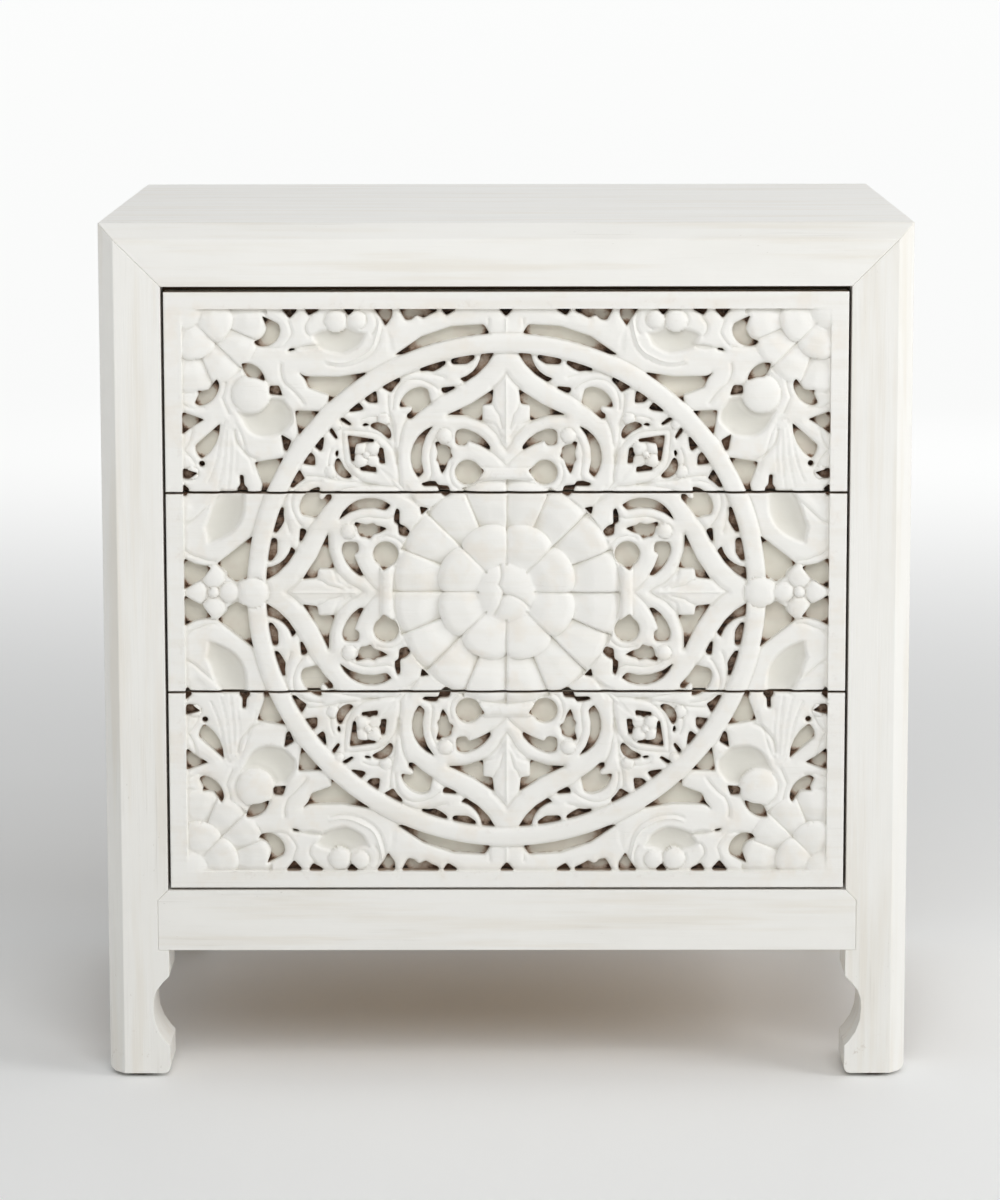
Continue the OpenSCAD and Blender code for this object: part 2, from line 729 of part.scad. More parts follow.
stop_block_middle();
stop_block_bottom();
drawer_screws_top();
drawer_screws_middle();
drawer_screws_bottom();
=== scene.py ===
import json
import math

import bpy
import numpy as np
from mathutils import Matrix, Vector
from mathutils.geometry import delaunay_2d_cdt
from mathutils.kdtree import KDTree

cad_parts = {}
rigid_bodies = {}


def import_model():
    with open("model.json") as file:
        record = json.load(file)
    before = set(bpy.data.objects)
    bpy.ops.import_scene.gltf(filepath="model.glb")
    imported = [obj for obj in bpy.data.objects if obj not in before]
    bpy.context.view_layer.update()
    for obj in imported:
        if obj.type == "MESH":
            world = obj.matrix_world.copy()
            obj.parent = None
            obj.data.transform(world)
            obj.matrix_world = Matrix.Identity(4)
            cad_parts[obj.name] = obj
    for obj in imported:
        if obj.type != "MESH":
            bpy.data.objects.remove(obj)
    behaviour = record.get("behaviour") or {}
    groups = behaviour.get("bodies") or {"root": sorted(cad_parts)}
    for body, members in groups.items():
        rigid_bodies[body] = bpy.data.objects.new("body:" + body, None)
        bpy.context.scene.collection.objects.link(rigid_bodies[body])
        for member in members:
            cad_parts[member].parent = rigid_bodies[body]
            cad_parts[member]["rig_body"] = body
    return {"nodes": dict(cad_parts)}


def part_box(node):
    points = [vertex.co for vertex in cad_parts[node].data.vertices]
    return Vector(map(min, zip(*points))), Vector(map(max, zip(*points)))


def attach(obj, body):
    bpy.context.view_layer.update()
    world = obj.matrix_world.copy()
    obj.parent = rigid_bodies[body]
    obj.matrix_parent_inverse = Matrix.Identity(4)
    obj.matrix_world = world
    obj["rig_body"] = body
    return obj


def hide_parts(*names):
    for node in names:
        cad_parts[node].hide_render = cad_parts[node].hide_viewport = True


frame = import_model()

bl_info = {
    "name": "Bedside chest with a carved front",
    "version": (1, 0, 0),
    "blender": (4, 5, 0),
    "location": "3D View > Sidebar > Chest",
    "description": "Paints, carves and lights a bedside chest of three drawers",
    "category": "Object",
}

MM = 0.001
LEVELS = ("top", "middle", "bottom")
SOFTEN = math.radians(38)
BACKDROP = (0.90, 0.905, 0.90)
BOX_EDGE, BACK_EDGE, PAD_EDGE = 0.0005, 0.0004, 0.0006

# Pieces of the case that carry the white paint, with the way their grain runs
PAINTED = {
    "top_board": "x", "top_rail": "x", "bottom_rail": "x",
    "leg_front_left": "z", "leg_front_right": "z", "leg_back_left": "z", "leg_back_right": "z",
    "side_board_left": "z", "side_board_right": "z",
    "side_rail_upper_left": "y", "side_rail_upper_right": "y",
    "side_rail_lower_left": "y", "side_rail_lower_right": "y",
    "back_rail_upper": "x", "back_rail_lower": "x",
}
# Pieces of bare wood inside the case
STRIPS = {
    "divider_upper": "x", "divider_lower": "x", "kicker_rail": "x", "sill_strip": "x",
    "runners_top": "y", "runners_middle": "y", "runners_bottom": "y",
    "guides_top": "y", "guides_middle": "y", "guides_bottom": "y",
    "kicker_strips": "y", "dust_board_ledgers": "y", "glue_blocks": "y",
}
# Strips seen through the gaps of the drawers. They are darkened nearly to black as painted shade
GAP_SHADED = ("divider_upper", "divider_lower", "kicker_rail", "sill_strip")

# Colours of wear and of raw wood, and colours of painted shade in the hollows of the carving and in the
# holes of the backing. Pairs are the two ends of a mix
SPECK = (0.40, 0.36, 0.30)
YELLOW_STAIN = (0.80, 0.715, 0.60)
HOLLOW_SHADE = (0.69, 0.67, 0.60)
SAWN_WALL = (0.20, 0.12, 0.065), (0.40, 0.28, 0.18)
DUSTY = (0.60, 0.50, 0.42)
RAW_AND_SHADED_BACKING = (0.025, 0.015, 0.010), (0.20, 0.115, 0.07)
THIN_AND_SHADED_BACKING = (0.46, 0.34, 0.255)
PORE = (0.22, 0.12, 0.06)
VENEER = (0.60, 0.45, 0.28), (0.43, 0.28, 0.15)
VENEER_PORE = (0.26, 0.15, 0.08)
PLY_LAYER = (0.24, 0.14, 0.075)
ZINC = (0.50, 0.50, 0.48), (0.66, 0.65, 0.61)


# Sizes and colours that a user would change

class ChestFinish(bpy.types.PropertyGroup):
    """Colours of the paint, the wood and the fittings"""
    paint: bpy.props.FloatVectorProperty(
        name="Paint", description="White paint on the case and the carving",
        subtype="COLOR", size=3, min=0, max=1, default=(0.865, 0.853, 0.815))
    cream: bpy.props.FloatVectorProperty(
        name="Yellowed paint", description="Broad streaks where the wood shows warm through the paint",
        subtype="COLOR", size=3, min=0, max=1, default=(0.78, 0.735, 0.65))
    # Also the colour of the painted shade and grime in the cuts of the carving
    worn: bpy.props.FloatVectorProperty(
        name="Thin paint", description="Paint where it lies thin over the grain and in the cuts",
        subtype="COLOR", size=3, min=0, max=1, default=(0.60, 0.575, 0.52))
    rubbed: bpy.props.FloatVectorProperty(
        name="Rubbed wood", description="Wood that shows where the paint is rubbed through",
        subtype="COLOR", size=3, min=0, max=1, default=(0.30, 0.185, 0.10))
    backing: bpy.props.FloatVectorProperty(
        name="Backing", description="Paint on the boards behind the pierced panels",
        subtype="COLOR", size=3, min=0, max=1, default=(0.74, 0.712, 0.625))
    wood: bpy.props.FloatVectorProperty(
        name="Bare wood", description="Drawer boxes and runners",
        subtype="COLOR", size=3, min=0, max=1, default=(0.56, 0.39, 0.22))
    late_wood: bpy.props.FloatVectorProperty(
        name="Late wood", description="Darker lines of the grain",
        subtype="COLOR", size=3, min=0, max=1, default=(0.36, 0.21, 0.10))
    # This stain is painted shade: the near black of the strips behind the gaps of the drawers
    stain: bpy.props.FloatVectorProperty(
        name="Stain", description="Dark stain on the strips behind the gaps of the drawers",
        subtype="COLOR", size=3, min=0, max=1, default=(0.055, 0.032, 0.018))
    felt: bpy.props.FloatVectorProperty(
        name="Felt", description="Pads under the feet",
        subtype="COLOR", size=3, min=0, max=1, default=(0.035, 0.017, 0.011))


class ChestShape(bpy.types.PropertyGroup):
    """Depths of the carving and of the eased edges"""
    eased_edge: bpy.props.FloatProperty(
        name="Eased edge", description="Width of the rounding along the edges of the case",
        unit="LENGTH", min=0.0002, max=0.003, default=0.0007)
    ground: bpy.props.FloatProperty(
        name="Ground", description="Depth of the carved ground below the plain border",
        unit="LENGTH", min=0.0005, max=0.005, default=0.0027)
    rounding: bpy.props.FloatProperty(
        name="Rounding", description="Radius along the edges of the pierced holes",
        unit="LENGTH", min=0.0005, max=0.004, default=0.0022)
    facet: bpy.props.FloatProperty(
        name="Facet", description="Size of the facets that the carving is built from",
        unit="LENGTH", min=0.0008, max=0.004, default=0.0011)


class ChestStage(bpy.types.PropertyGroup):
    """Floor and light"""
    floor: bpy.props.FloatVectorProperty(
        name="Floor", description="Colour of the floor",
        subtype="COLOR", size=3, min=0, max=1, default=(0.93, 0.93, 0.92))
    front: bpy.props.FloatProperty(
        name="Front light", description="Power of the large lamp in front, above the camera",
        unit="POWER", min=0, max=2000, default=60)
    side: bpy.props.FloatProperty(
        name="Side light", description="Power of the lamp at the right",
        unit="POWER", min=0, max=2000, default=56)
    back: bpy.props.FloatProperty(
        name="Back light", description="Power of the weak lamp behind the chest",
        unit="POWER", min=0, max=2000, default=18)
    room: bpy.props.FloatProperty(
        name="Room light", description="Strength of the even light all round",
        min=0, max=2, default=0.38)


def finish():
    return bpy.context.scene.chest_finish


def shape():
    return bpy.context.scene.chest_shape


# Shader expressions

class Value:
    """Output socket of a number that takes part in sums"""

    def __init__(self, tree, socket):
        self.tree, self.socket = tree, socket

    def sum(self, operation, a, b):
        return Value(self.tree, self.tree.node("ShaderNodeMath", {"operation": operation}, a, b).outputs[0])

    def __add__(self, other):
        return self.sum("ADD", self, other)

    def __radd__(self, other):
        return self.sum("ADD", other, self)

    def __sub__(self, other):
        return self.sum("SUBTRACT", self, other)

    def __rsub__(self, other):
        return self.sum("SUBTRACT", other, self)

    def __mul__(self, other):
        return self.sum("MULTIPLY", self, other)

    def __rmul__(self, other):
        return self.sum("MULTIPLY", other, self)

    def __pow__(self, other):
        return self.sum("POWER", self, other)

    def sine(self):
        return self.sum("SINE", self, 0.0)

    def fraction(self):
        return self.sum("FRACT", self, 0.0)

    def span(self, low, high):
        """0 below low and 1 above high, eased between them"""
        made = self.tree.node("ShaderNodeMapRange", {"interpolation_type": "SMOOTHSTEP"},
                              self, low, high, 0.0, 1.0)
        return Value(self.tree, made.outputs[0])


class Shading:
    """Nodes of a material or of the room"""

    def __init__(self, tree):
        self.nodes, self.links = tree.nodes, tree.links
        self.nodes.clear()

    def node(self, kind, settings=None, *inputs, **named):
        made = self.nodes.new(kind)
        for key, value in (settings or {}).items():
            setattr(made, key, value)
        free = [s for s in made.inputs if s.enabled]
        for socket, value in list(zip(free, inputs)) + [(made.inputs[k], v) for k, v in named.items()]:
            self.feed(socket, value)
        return made

    def feed(self, socket, value):
        if value is None:
            return
        value = value.socket if isinstance(value, Value) else value
        if isinstance(value, bpy.types.NodeSocket):
            self.links.new(value, socket)
        elif socket.type == "RGBA" and len(value) == 3:
            socket.default_value = (*value, 1)
        else:
            socket.default_value = value


class Finish(Shading):
    """A material under construction"""

    def __init__(self, name):
        self.material = bpy.data.materials.new(name)
        self.material.use_nodes = True
        super().__init__(self.material.node_tree)
        self.shader = self.node("ShaderNodeBsdfPrincipled")
        self.node("ShaderNodeOutputMaterial", None, self.shader.outputs[0])
        self.place = self.node("ShaderNodeTexCoord").outputs["Object"]

    def set(self, **named):
        for key, value in named.items():
            self.feed(self.shader.inputs[key.replace("_", " ")], value)

    def noise(self, scales, detail, rough, shift=(0, 0, 0), warp=0.0):
        """Noise on the piece's own place. One scale does for all ways, or three are given"""
        scales = scales if isinstance(scales, (list, tuple)) else (scales,) * 3
        moved = self.node("ShaderNodeVectorMath", {"operation": "ADD"}, self.place, shift).outputs[0]
        where = self.node("ShaderNodeVectorMath", {"operation": "MULTIPLY"}, moved, scales).outputs[0]
        made = self.node("ShaderNodeTexNoise", None, Vector=where, Scale=1.0, Detail=detail,
                         Roughness=rough, Distortion=warp)
        return Value(self, made.outputs[0])

    def axis(self, letter):
        split = self.node("ShaderNodeSeparateXYZ", None, self.place)
        return Value(self, split.outputs["XYZ".index(letter.upper())])

    def attribute(self, name):
        return Value(self, self.node("ShaderNodeAttribute", {"attribute_name": name}).outputs["Fac"])

    def mix(self, share, first, second):
        return self.node("ShaderNodeMix", {"data_type": "RGBA"}, share, first, second).outputs[2]

    def bump(self, height, depth):
        return self.node("ShaderNodeBump", None, Strength=1.0, Distance=depth, Height=height).outputs[0]


def along(grain, fine, long):
    """Scales that stretch a pattern along the grain"""
    return [long if letter == grain else fine for letter in "xyz"]


def seed_of(name):
    """A fixed place in the pattern for each piece, so that no two boards match"""
    return sum((i + 1) * ord(c) for i, c in enumerate(name)) % 97 / 9.7


def paint_over(made, grain, seed, colour, specks=0.3, wear=1.0):
    """Streaks, thin patches and specks of brushed paint, as a colour, a roughness and a bump"""
    look = finish()
    shift = (seed, seed * 0.37, seed * 0.71)
    streaks = made.noise(along(grain, 420, 9), 4, 0.65, shift)
    fibres = made.noise(along(grain, 1500, 30), 2, 0.5, shift)
    patches = made.noise(along(grain, 22, 7), 3, 0.6, shift)
    broad = made.noise(along(grain, 70, 4), 3, 0.6, shift)
    colour = made.mix(broad.span(0.46, 0.70) * (0.55 * wear), colour, look.cream)
    thin = streaks.span(0.56, 0.78) * patches.span(0.42, 0.66)
    tone = made.mix(thin * (0.52 * wear), colour, look.worn)
    tone = made.mix(patches.span(0.35, 0.75) * (0.12 * wear), tone, look.worn)
    speck = made.noise(along(grain, 520, 200), 1, 0.4, shift)
    tone = made.mix(speck.span(0.77, 0.81) * patches.span(0.5, 0.65) * specks, tone, SPECK)
    height = streaks * 0.6 + fibres * 0.4
    return tone, height, patches


def painted_wood(name, grain):
    """White paint brushed thin over planed wood, rubbed at the corners of the foot"""
    made = Finish(name)
    look = finish()
    tone, height, patches = paint_over(made, grain, seed_of(name), look.paint)
    rub = made.noise(70, 4, 0.7)
    low = 1 - made.axis("z").span(0.004, 0.055)
    tone = made.mix(rub.span(0.60, 0.70) * low * 0.35, tone, look.rubbed)
    made.set(Base_Color=tone, Roughness=0.58 - 0.12 * patches, Specular_IOR_Level=0.35,
             Normal=made.bump(height, 0.00022))
    return made.material


def painted_carving(name):
    """The same paint on carved wood, darker in the cuts and on the floors of the scooped hollows as painted
    shade, with grime in the cuts, and bare on the sawn walls of the holes
    """
    made = Finish(name)
    look = finish()
    tone, height, patches = paint_over(made, "x", seed_of(name), look.paint, 0.04, 0.55)
    relief = made.attribute("relief")
    bare = made.attribute("bare")
    patchiness = made.noise(160, 3, 0.6)
    stain = made.noise(38, 3, 0.6)
    tone = made.mix(stain.span(0.50, 0.72) * 0.30, tone, YELLOW_STAIN)
    # Painted shade with patchy grime in the cuts: the thin paint colour where the surface lies below what is
    # round it
    tone = made.mix(relief.span(0.2, 1.2) * (0.12 + 0.35 * patchiness), tone, look.worn)
    # Painted shade on the floors of the scooped hollows, darker where they are deeper
    tone = made.mix(made.attribute("sunk").span(3.2, 8.0) * 0.8, tone, HOLLOW_SHADE)
    rubbed = (0 - relief).span(0.35, 1.1) * patchiness.span(0.55, 0.72)
    tone = made.mix(rubbed * 0.08, tone, look.rubbed)
    saw = made.noise((300, 900, 300), 3, 0.6)
    brown = made.mix(saw, *SAWN_WALL)
    wall = (bare + 0.5 * (saw - 0.5)).span(0.30, 0.80)
    tone = made.mix(wall * 0.85, tone, brown)
    tool = made.noise(260, 2, 0.5)
    made.set(Base_Color=tone, Roughness=0.60 - 0.12 * patches, Specular_IOR_Level=0.32,
             Normal=made.bump(height * 0.7 + tool * 0.5, 0.00022))
    return made.material


def painted_backing(name, seed):
    """Grey beige paint on the board behind the carving. It reached the wood through the wide holes, and left
    it brown in the narrow ones. The narrow holes and the corners of the holes also get painted shade, brown
    going to near black"""
    made = Finish(name)
    look = finish()
    tone, height, patches = paint_over(made, "x", seed, look.backing)
    cloud = made.noise(60, 2, 0.5)
    tone = made.mix(cloud.span(0.5, 0.7) * 0.25, tone, DUSTY)
    ragged = made.noise(330, 3, 0.6)
    # How far paint and the light reach into each hole, from the hole's width with a ragged edge
    paint_and_light_reach = made.attribute("open") + 0.4 * (ragged - 0.5)
    saw = made.noise(along("x", 240, 60), 3, 0.6)
    # Bare wood in the narrow holes, mixed with near black as painted shade
    bare = made.mix(saw.span(0.35, 0.65), *RAW_AND_SHADED_BACKING)
    # Brown between the bare wood and the paint, both thin paint and painted shade
    thin = made.mix(paint_and_light_reach.span(0.0, 0.22), bare, THIN_AND_SHADED_BACKING)
    tone = made.mix(paint_and_light_reach.span(0.12, 0.50), thin, tone)
    made.set(Base_Color=tone, Roughness=0.7, Specular_IOR_Level=0.3, Normal=made.bump(height, 0.0002))
    return made.material


def bare_wood(name, grain, gap_shaded=False):
    """Planed wood with its year rings, so that the board ends show end grain. For the strips behind the gaps
    of the drawers it is made nearly black, as painted shade
    """
    made = Finish(name)
    look = finish()
    seed = seed_of(name)
    wander = made.noise(along(grain, 5, 1.6), 2, 0.5, (seed, seed, seed))
    across = [made.axis(letter) for letter in "xyz" if letter != grain]
    u = across[0] + (0.11 + 0.01 * seed)
    v = across[1] - (0.09 + 0.013 * seed)
    radius = (u * u + v * v) ** 0.5 + wander * 0.035
    rings = (radius * 190).fraction()
    late = rings.span(0.45, 0.92) * (1 - rings.span(0.93, 1.0))
    pores = made.noise(along(grain, 1900, 55), 2, 0.5, (seed, 0, seed))
    broad = made.noise(along(grain, 30, 4), 3, 0.5, (0, seed, 0))
    tone = made.mix(late * 0.55, look.wood, look.late_wood)
    # Painted shade: the strips behind the gaps of the drawers are made nearly black
    if gap_shaded:
        tone = made.mix(0.88, tone, look.stain)
    tone = made.mix(broad.span(0.4, 0.7) * 0.25, tone, look.late_wood)
    tone = made.mix(pores.span(0.60, 0.72) * 0.4, tone, PORE)
    made.set(Base_Color=tone, Roughness=0.62 + 0.1 * pores, Specular_IOR_Level=0.3,
             Normal=made.bump(pores * 0.7 + late * 0.3, 0.00016))
    return made.material


def plywood(name, grain, through, low, thick):
    """Thin sheet with a face veneer, and its layers on the edges"""
    made = Finish(name)
    look = finish()
    seed = seed_of(name)
    other = [letter for letter in "xyz" if letter not in (grain, through)][0]
    wander = made.noise(along(grain, 9, 1.3), 3, 0.5, (seed, seed, 0))
    bands = ((made.axis(other) * 24 + wander * 2.4) * 6.28).sine()
    pores = made.noise(along(grain, 1700, 40), 2, 0.5, (seed, 0, 0))
    tone = made.mix(bands.span(-0.2, 1.0) * 0.42, *VENEER)
    tone = made.mix(pores.span(0.60, 0.74) * 0.3, tone, VENEER_PORE)
    depth = (made.axis(through) - low) * (1 / thick)
    layer = (depth * 1.5).fraction().span(0.45, 0.55)
    edge = depth.span(0.02, 0.06) * (1 - depth.span(0.94, 0.98))
    tone = made.mix(edge * layer * 0.55, tone, PLY_LAYER)
    made.set(Base_Color=tone, Roughness=0.66, Specular_IOR_Level=0.3, Normal=made.bump(pores, 0.00012))
    return made.material


def plated_steel(name):
    """Zinc on small steel screws"""
    made = Finish(name)
    cloud = made.noise(900, 3, 0.6)
    tone = made.mix(cloud, *ZINC)
    made.set(Base_Color=tone, Metallic=1.0, Roughness=0.26 + 0.2 * cloud)
    return made.material


def felt(name):
    """Pressed felt with loose fibres"""
    made = Finish(name)
    look = finish()
    fluff = made.noise(1400, 4, 0.7, warp=1.5)
    tone = made.mix(fluff, look.felt, tuple(2.2 * c for c in look.felt))
    made.set(Base_Color=tone, Roughness=0.95, Specular_IOR_Level=0.15, Normal=made.bump(fluff, 0.0004))
    return made.material


# Working on meshes

def deselect():
    if bpy.context.object and bpy.context.object.mode != "OBJECT":
        mode("OBJECT")
    for o in bpy.context.view_layer.objects:
        o.select_set(False)


def work_on(piece):
    deselect()
    piece.select_set(True)
    bpy.context.view_layer.objects.active = piece


def mode(name):
    bpy.ops.object.mode_set(mode=name)


def added(name, data):
    made = bpy.data.objects.new(name, data)
    bpy.context.scene.collection.objects.link(made)
    return made


def modified(piece, kind, **settings):
    """Give the active piece a modifier and apply it"""
    made = piece.modifiers.new(kind.lower(), kind)
    for key, value in settings.items():
        setattr(made, key, value)
    bpy.ops.object.modifier_apply(modifier=made.name)


def dress(piece, material):
    piece.data.materials.clear()
    piece.data.materials.append(material)


def body_of(node):
    return frame["nodes"][node]["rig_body"]


def settle(piece, node, material):
    """The piece stands for a CAD node, on that node's body and in its material slot"""
    dress(piece, material)
    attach(piece, body_of(node))
    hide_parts(node)


def merged_copy(node, name):
    """Copy of a CAD piece, its triangles merged into faces"""
    piece = added(name, frame["nodes"][node].data.copy())
    work_on(piece)
    mode("EDIT")
    bpy.ops.mesh.select_all(action="SELECT")
    bpy.ops.mesh.remove_doubles(threshold=0.00001)
    bpy.ops.mesh.dissolve_limited(angle_limit=math.radians(0.5), delimit=set())
    bpy.ops.mesh.select_all(action="DESELECT")
    mode("OBJECT")
    return piece


def eased_copy(node, name, width):
    """Copy of a CAD piece with its edges rounded and its flat faces evenly shaded"""
    piece = merged_copy(node, name)
    modified(piece, "BEVEL", width=width, segments=2, limit_method="ANGLE", angle_limit=math.radians(25))
    bpy.ops.object.shade_smooth_by_angle(angle=SOFTEN)
    modified(piece, "WEIGHTED_NORMAL", keep_sharp=True)
    return piece


def bowed(corners):
    """Line through corners. A third number is how far the stretch after a corner bows to its left"""
    line = []
    for a, b in zip(corners[:-1], corners[1:]):
        p, q = np.array(a[:2], float), np.array(b[:2], float)
        rise = a[2] if len(a) > 2 else 0
        run = q - p
        steps = max(1, int(np.hypot(*run) / 1.5))
        left = np.array([-run[1], run[0]]) / np.hypot(*run)
        for t in np.arange(steps) / steps:
            line.append(p + run * t + left * (4 * rise * t * (1 - t)))
    line.append(np.array(corners[-1][:2], float))
    return np.array(line)


def reach(points, line):
    """Distance of each point from a line"""
    best = np.full(len(points), 1e9)
    for a, b in zip(line[:-1], line[1:]):
        run = b - a
        t = np.clip(((points - a) @ run) / (run @ run), 0, 1)
        best = np.minimum(best, np.hypot(*(points - a - t[:, None] * run).T))
    return best


def sunk_in(points, line):
    """Distance from a closed line, smooth across its corners"""
    run = np.diff(line, axis=0)
    share = 0
    for middle, length in zip(line[:-1] + run / 2, np.hypot(*run.T)):
        share = share + length / np.maximum(np.hypot(*(points - middle).T), 0.3) ** 3
    return np.minimum(np.sqrt(2 / share), reach(points, line))


def within(points, loop):
    """True for the points inside a closed line"""
    inside = np.zeros(len(points), bool)
    x, z = points.T
    for (ax, az), (bx, bz) in zip(loop[:-1], loop[1:]):
        if az == bz:
            continue
        crosses = (az > z) != (bz > z)
        inside ^= crosses & (x < ax + (z - az) * (bx - ax) / (bz - az))
    return inside


def eased(t):
    t = np.clip(t, 0, 1)
    return t * t * (3 - 2 * t)


# Carving, in millimetres from the middle of the medallion. Inside the ring it is drawn in the
# wedge left of the upper half axis, outside it in the upper left quarter

RING_OUT, RING_IN = 196.0, 181.5
FIELD = (243.0, 215.0)
FLOWER_R = 85.5
CORNER_R = 64.0
BUD_R = 21.5
OUTER_TURN, INNER_TURN = 22.5, 45
BAR = (18.0, 90.4)
CORNER = (-243.0, 215.0)

# Cuts: width, depth and the line that the tool follows. A depth below 0 is a ridge
INNER_CUTS = [
    (3.4, 1.7, [(-124, 123, 0.5), (-101, 121.5, 1.8), (-87, 111.5, 1.2), (-81.8, 98, 0.5), (-80.6, 83),
                (-67, 66)]),
    (3.0, 1.5, [(-88.5, 150, -1), (-85.2, 128, -0.5), (-82.6, 106), (-81.8, 98)]),
    (3.0, 1.5, [(-74.5, 131.5, -1.2), (-80, 114, -0.6), (-81.2, 103)]),
    (3.0, 1.2, [(-81, 162.5, 0.5), (-66, 167.3, 0.5), (-46, 163)]),
    (3.6, 1.6, [(-32, 158.5), (-46, 151), (-56.5, 143.5)]),
    (2.6, 1.3, [(-84.8, 139, 0.8), (-82.5, 153, 1.5), (-73, 161, 1.2), (-59.5, 159.5, 0.6), (-51, 154)]),
    (4.0, 1.7, [(0, 166.5, 0.6), (-9.8, 155)]),
    (2.4, 1.0, [(-9.6, 142, -0.6), (-5.5, 135), (-2.8, 124)]),
    (2.6, 1.0, [(-17.8, 129.5, 0.8), (-8, 127), (-3, 118)]),
    (1.6, -0.8, [(0, 161), (0, 114)]),
    (4.2, 1.8, [(-43.7, 133.5, 1), (-25, 131.5, 1.5), (-12, 124.5, 1), (-3.7, 113), (0, 108)]),
    (3.2, 1.2, [(-12.4, 107.5, 0.5), (0, 96)]),
    (2.6, 1.3, [(-41, 98, -1.5), (-41.5, 84.5, -1.2), (-34, 77.5)]),
    (2.4, 1.3, [(-53.5, 117, -0.8), (-57.5, 104), (-56, 90), (-57.5, 85)]),
    (1.6, 0.6, [(-95, 95), (-82, 84)]),
    (2.2, 0.9, [(-75, 81), (-68, 67)]),
    (2.0, 1.0, [(-109, 131, 0.8), (-98, 133.5, 1), (-86, 126)]),
]
OUTER_CUTS = [
    (1.8, 0.7, [(-210.5, 131, -1), (-216, 108, 0.8), (-224, 84)]),
    (1.6, 0.5, [(-208, 133, -0.5), (-211.5, 106, 0.6), (-217, 79)]),
    (1.8, 0.6, [(-206, 135), (-207, 105, 0.3), (-209.5, 78)]),
    (1.6, 0.5, [(-204, 133, 0.5), (-202.5, 105), (-203.5, 91)]),
    (2.2, 0.9, [(-202, 127, 1), (-195.5, 106, 1), (-189.5, 92)]),
    (3.2, 1.6, [(-204, 123, -1.5), (-198, 108.5, -1), (-187, 101)]),
    (3.0, 1.3, [(-168.5, 173, -1.5), (-165.5, 158, 1), (-152, 143.5)]),
    (2.4, 0.9, [(-92, 207, 0.5), (-95, 190, 2), (-107, 176, 3), (-134, 173)]),
    (1.8, -0.9, [(-94.8, 206, 0.5), (-98, 191, 2), (-109, 179.2, 3), (-134, 176)]),
    (2.4, 1.0, [(-200, 216), (-194, 211, 0.6), (-184, 208)]),
    (2.4, 1.0, [(-243, 143), (-234, 139.5, 0.8), (-226, 140.5)]),
    (2.6, 1.2, [(-214, 78, 1), (-222, 68), (-233, 58, 0.8), (-243, 52)]),
    (3.0, 1.3, [(-243, 33, -1), (-232, 27, -1), (-219, 24)]),
    (2.4, 1.0, [(-163, 183, 1.5), (-139, 187)]),
    (3.0, 1.2, [(-200, 172, 1.5), (-210, 163, 1), (-213, 148), (-208, 136)]),
    (2.6, 1.2, [(-147, 194, 1.5), (-150, 203), (-146, 209)]),
    (2.6, 1.0, [(-100, 196, -1), (-97, 205), (-99, 214)]),
    (2.6, 1.2, [(-236, 130, 2.5), (-242, 108, 1), (-233, 96)]),
    (2.4, 1.0, [(-182, 187, -1), (-168, 186, -1), (-160, 197), (-163, 206)]),
    (2.4, 1.0, [(-13, 207, 1), (-16, 196)]),
    (1.6, -0.8, [(0, 208), (0, 197)]),
]
# Hollows of the scooped leaves: depth, width of the slope and the rim
HOLLOWS = [
    (6.0, 3.8, [(-204, 140, -1), (-190, 137, -2), (-178, 148, 1), (-166, 147), (-160, 139, 1),
                (-159.5, 128), (-168, 119.5, 1), (-184, 117, 2), (-198, 127), (-204, 140)]),
    (6.0, 3.8, [(-147, 194.5, 1), (-136, 200), (-118, 201.5, -1), (-103, 197.5), (-108, 187, 1),
                (-122, 179.5, 1), (-140, 184), (-147, 194.5)]),
    (6.0, 3.8, [(-226, 36, -1.5), (-206, 45, -1.5), (-196.5, 60, -0.5), (-195.8, 79), (-215, 79),
                (-223, 66, 0.5), (-228.5, 50, 0.5), (-226, 36)]),
    (1.6, 5.0, [(-243, 78), (-243, 66), (-235, 62), (-224, 72), (-222, 80), (-243, 78)]),
    (1.5, 4.0, [(-90, 203), (-84, 193), (-82.5, 182), (-89.5, 181), (-90, 203)]),
    (3.2, 2.2, [(-160, 184.5), (-150, 188.2), (-138, 189), (-141, 184), (-150, 182.4), (-160, 184.5)]),
]
# Buds: place, radius and height
INNER_BUDS = [
    (-109.4, 109.8, 5.2, 2.3), (-100.2, 109.6, 5.2, 2.3), (-109.4, 100.4, 5.2, 2.3), (-104.8, 105, 2.6, 2.9),
    (-46.5, 119, 5.5, 2.2), (-127.5, 127.5, 4.0, 1.6), (-92, 131.5, 4.5, 1.4),
]
OUTER_BUDS = [
    (-191, 150.5, 14.5, 2.9), (-127, 205.5, 8.6, 2.6), (-111.8, 206.5, 7.2, 2.4), (-191.5, 0, 12.2, 3.0),
    (-221, 12, 8.6, 2.2), (-234.5, 0.8, 8.6, 2.2), (-209, 0, 7.6, 2.0), (-220.8, 0, 4.2, 2.9),
    (-236, 91, 4.5, 1.6),
]
SEAMS = [
    [(-5, 20.5, 1.5), (-6, 6, 0.8), (-2, -2)],
    [(-2, -2, 1), (8, -4, 0.8), (17, -11.5)],
    [(-2, -2, -0.5), (-5, -9), (-9, -17)],
]


def petal_rows(turn, k):
    """Radius at which the inner row ends, and the outer row, for a direction in degrees"""
    lap = 1 - (np.abs((turn / INNER_TURN) % 1 - 0.5) * 2) ** 2
    tip = 1 - (np.abs((turn / OUTER_TURN) % 1 - 0.5) * 2) ** 2
    inner = k * (46.5 + 6.7 * np.sqrt(np.clip(lap, 0, 1)))
    return inner, k * (FLOWER_R - 3.4 + 3.4 * np.sqrt(np.clip(tip, 0, 1)))


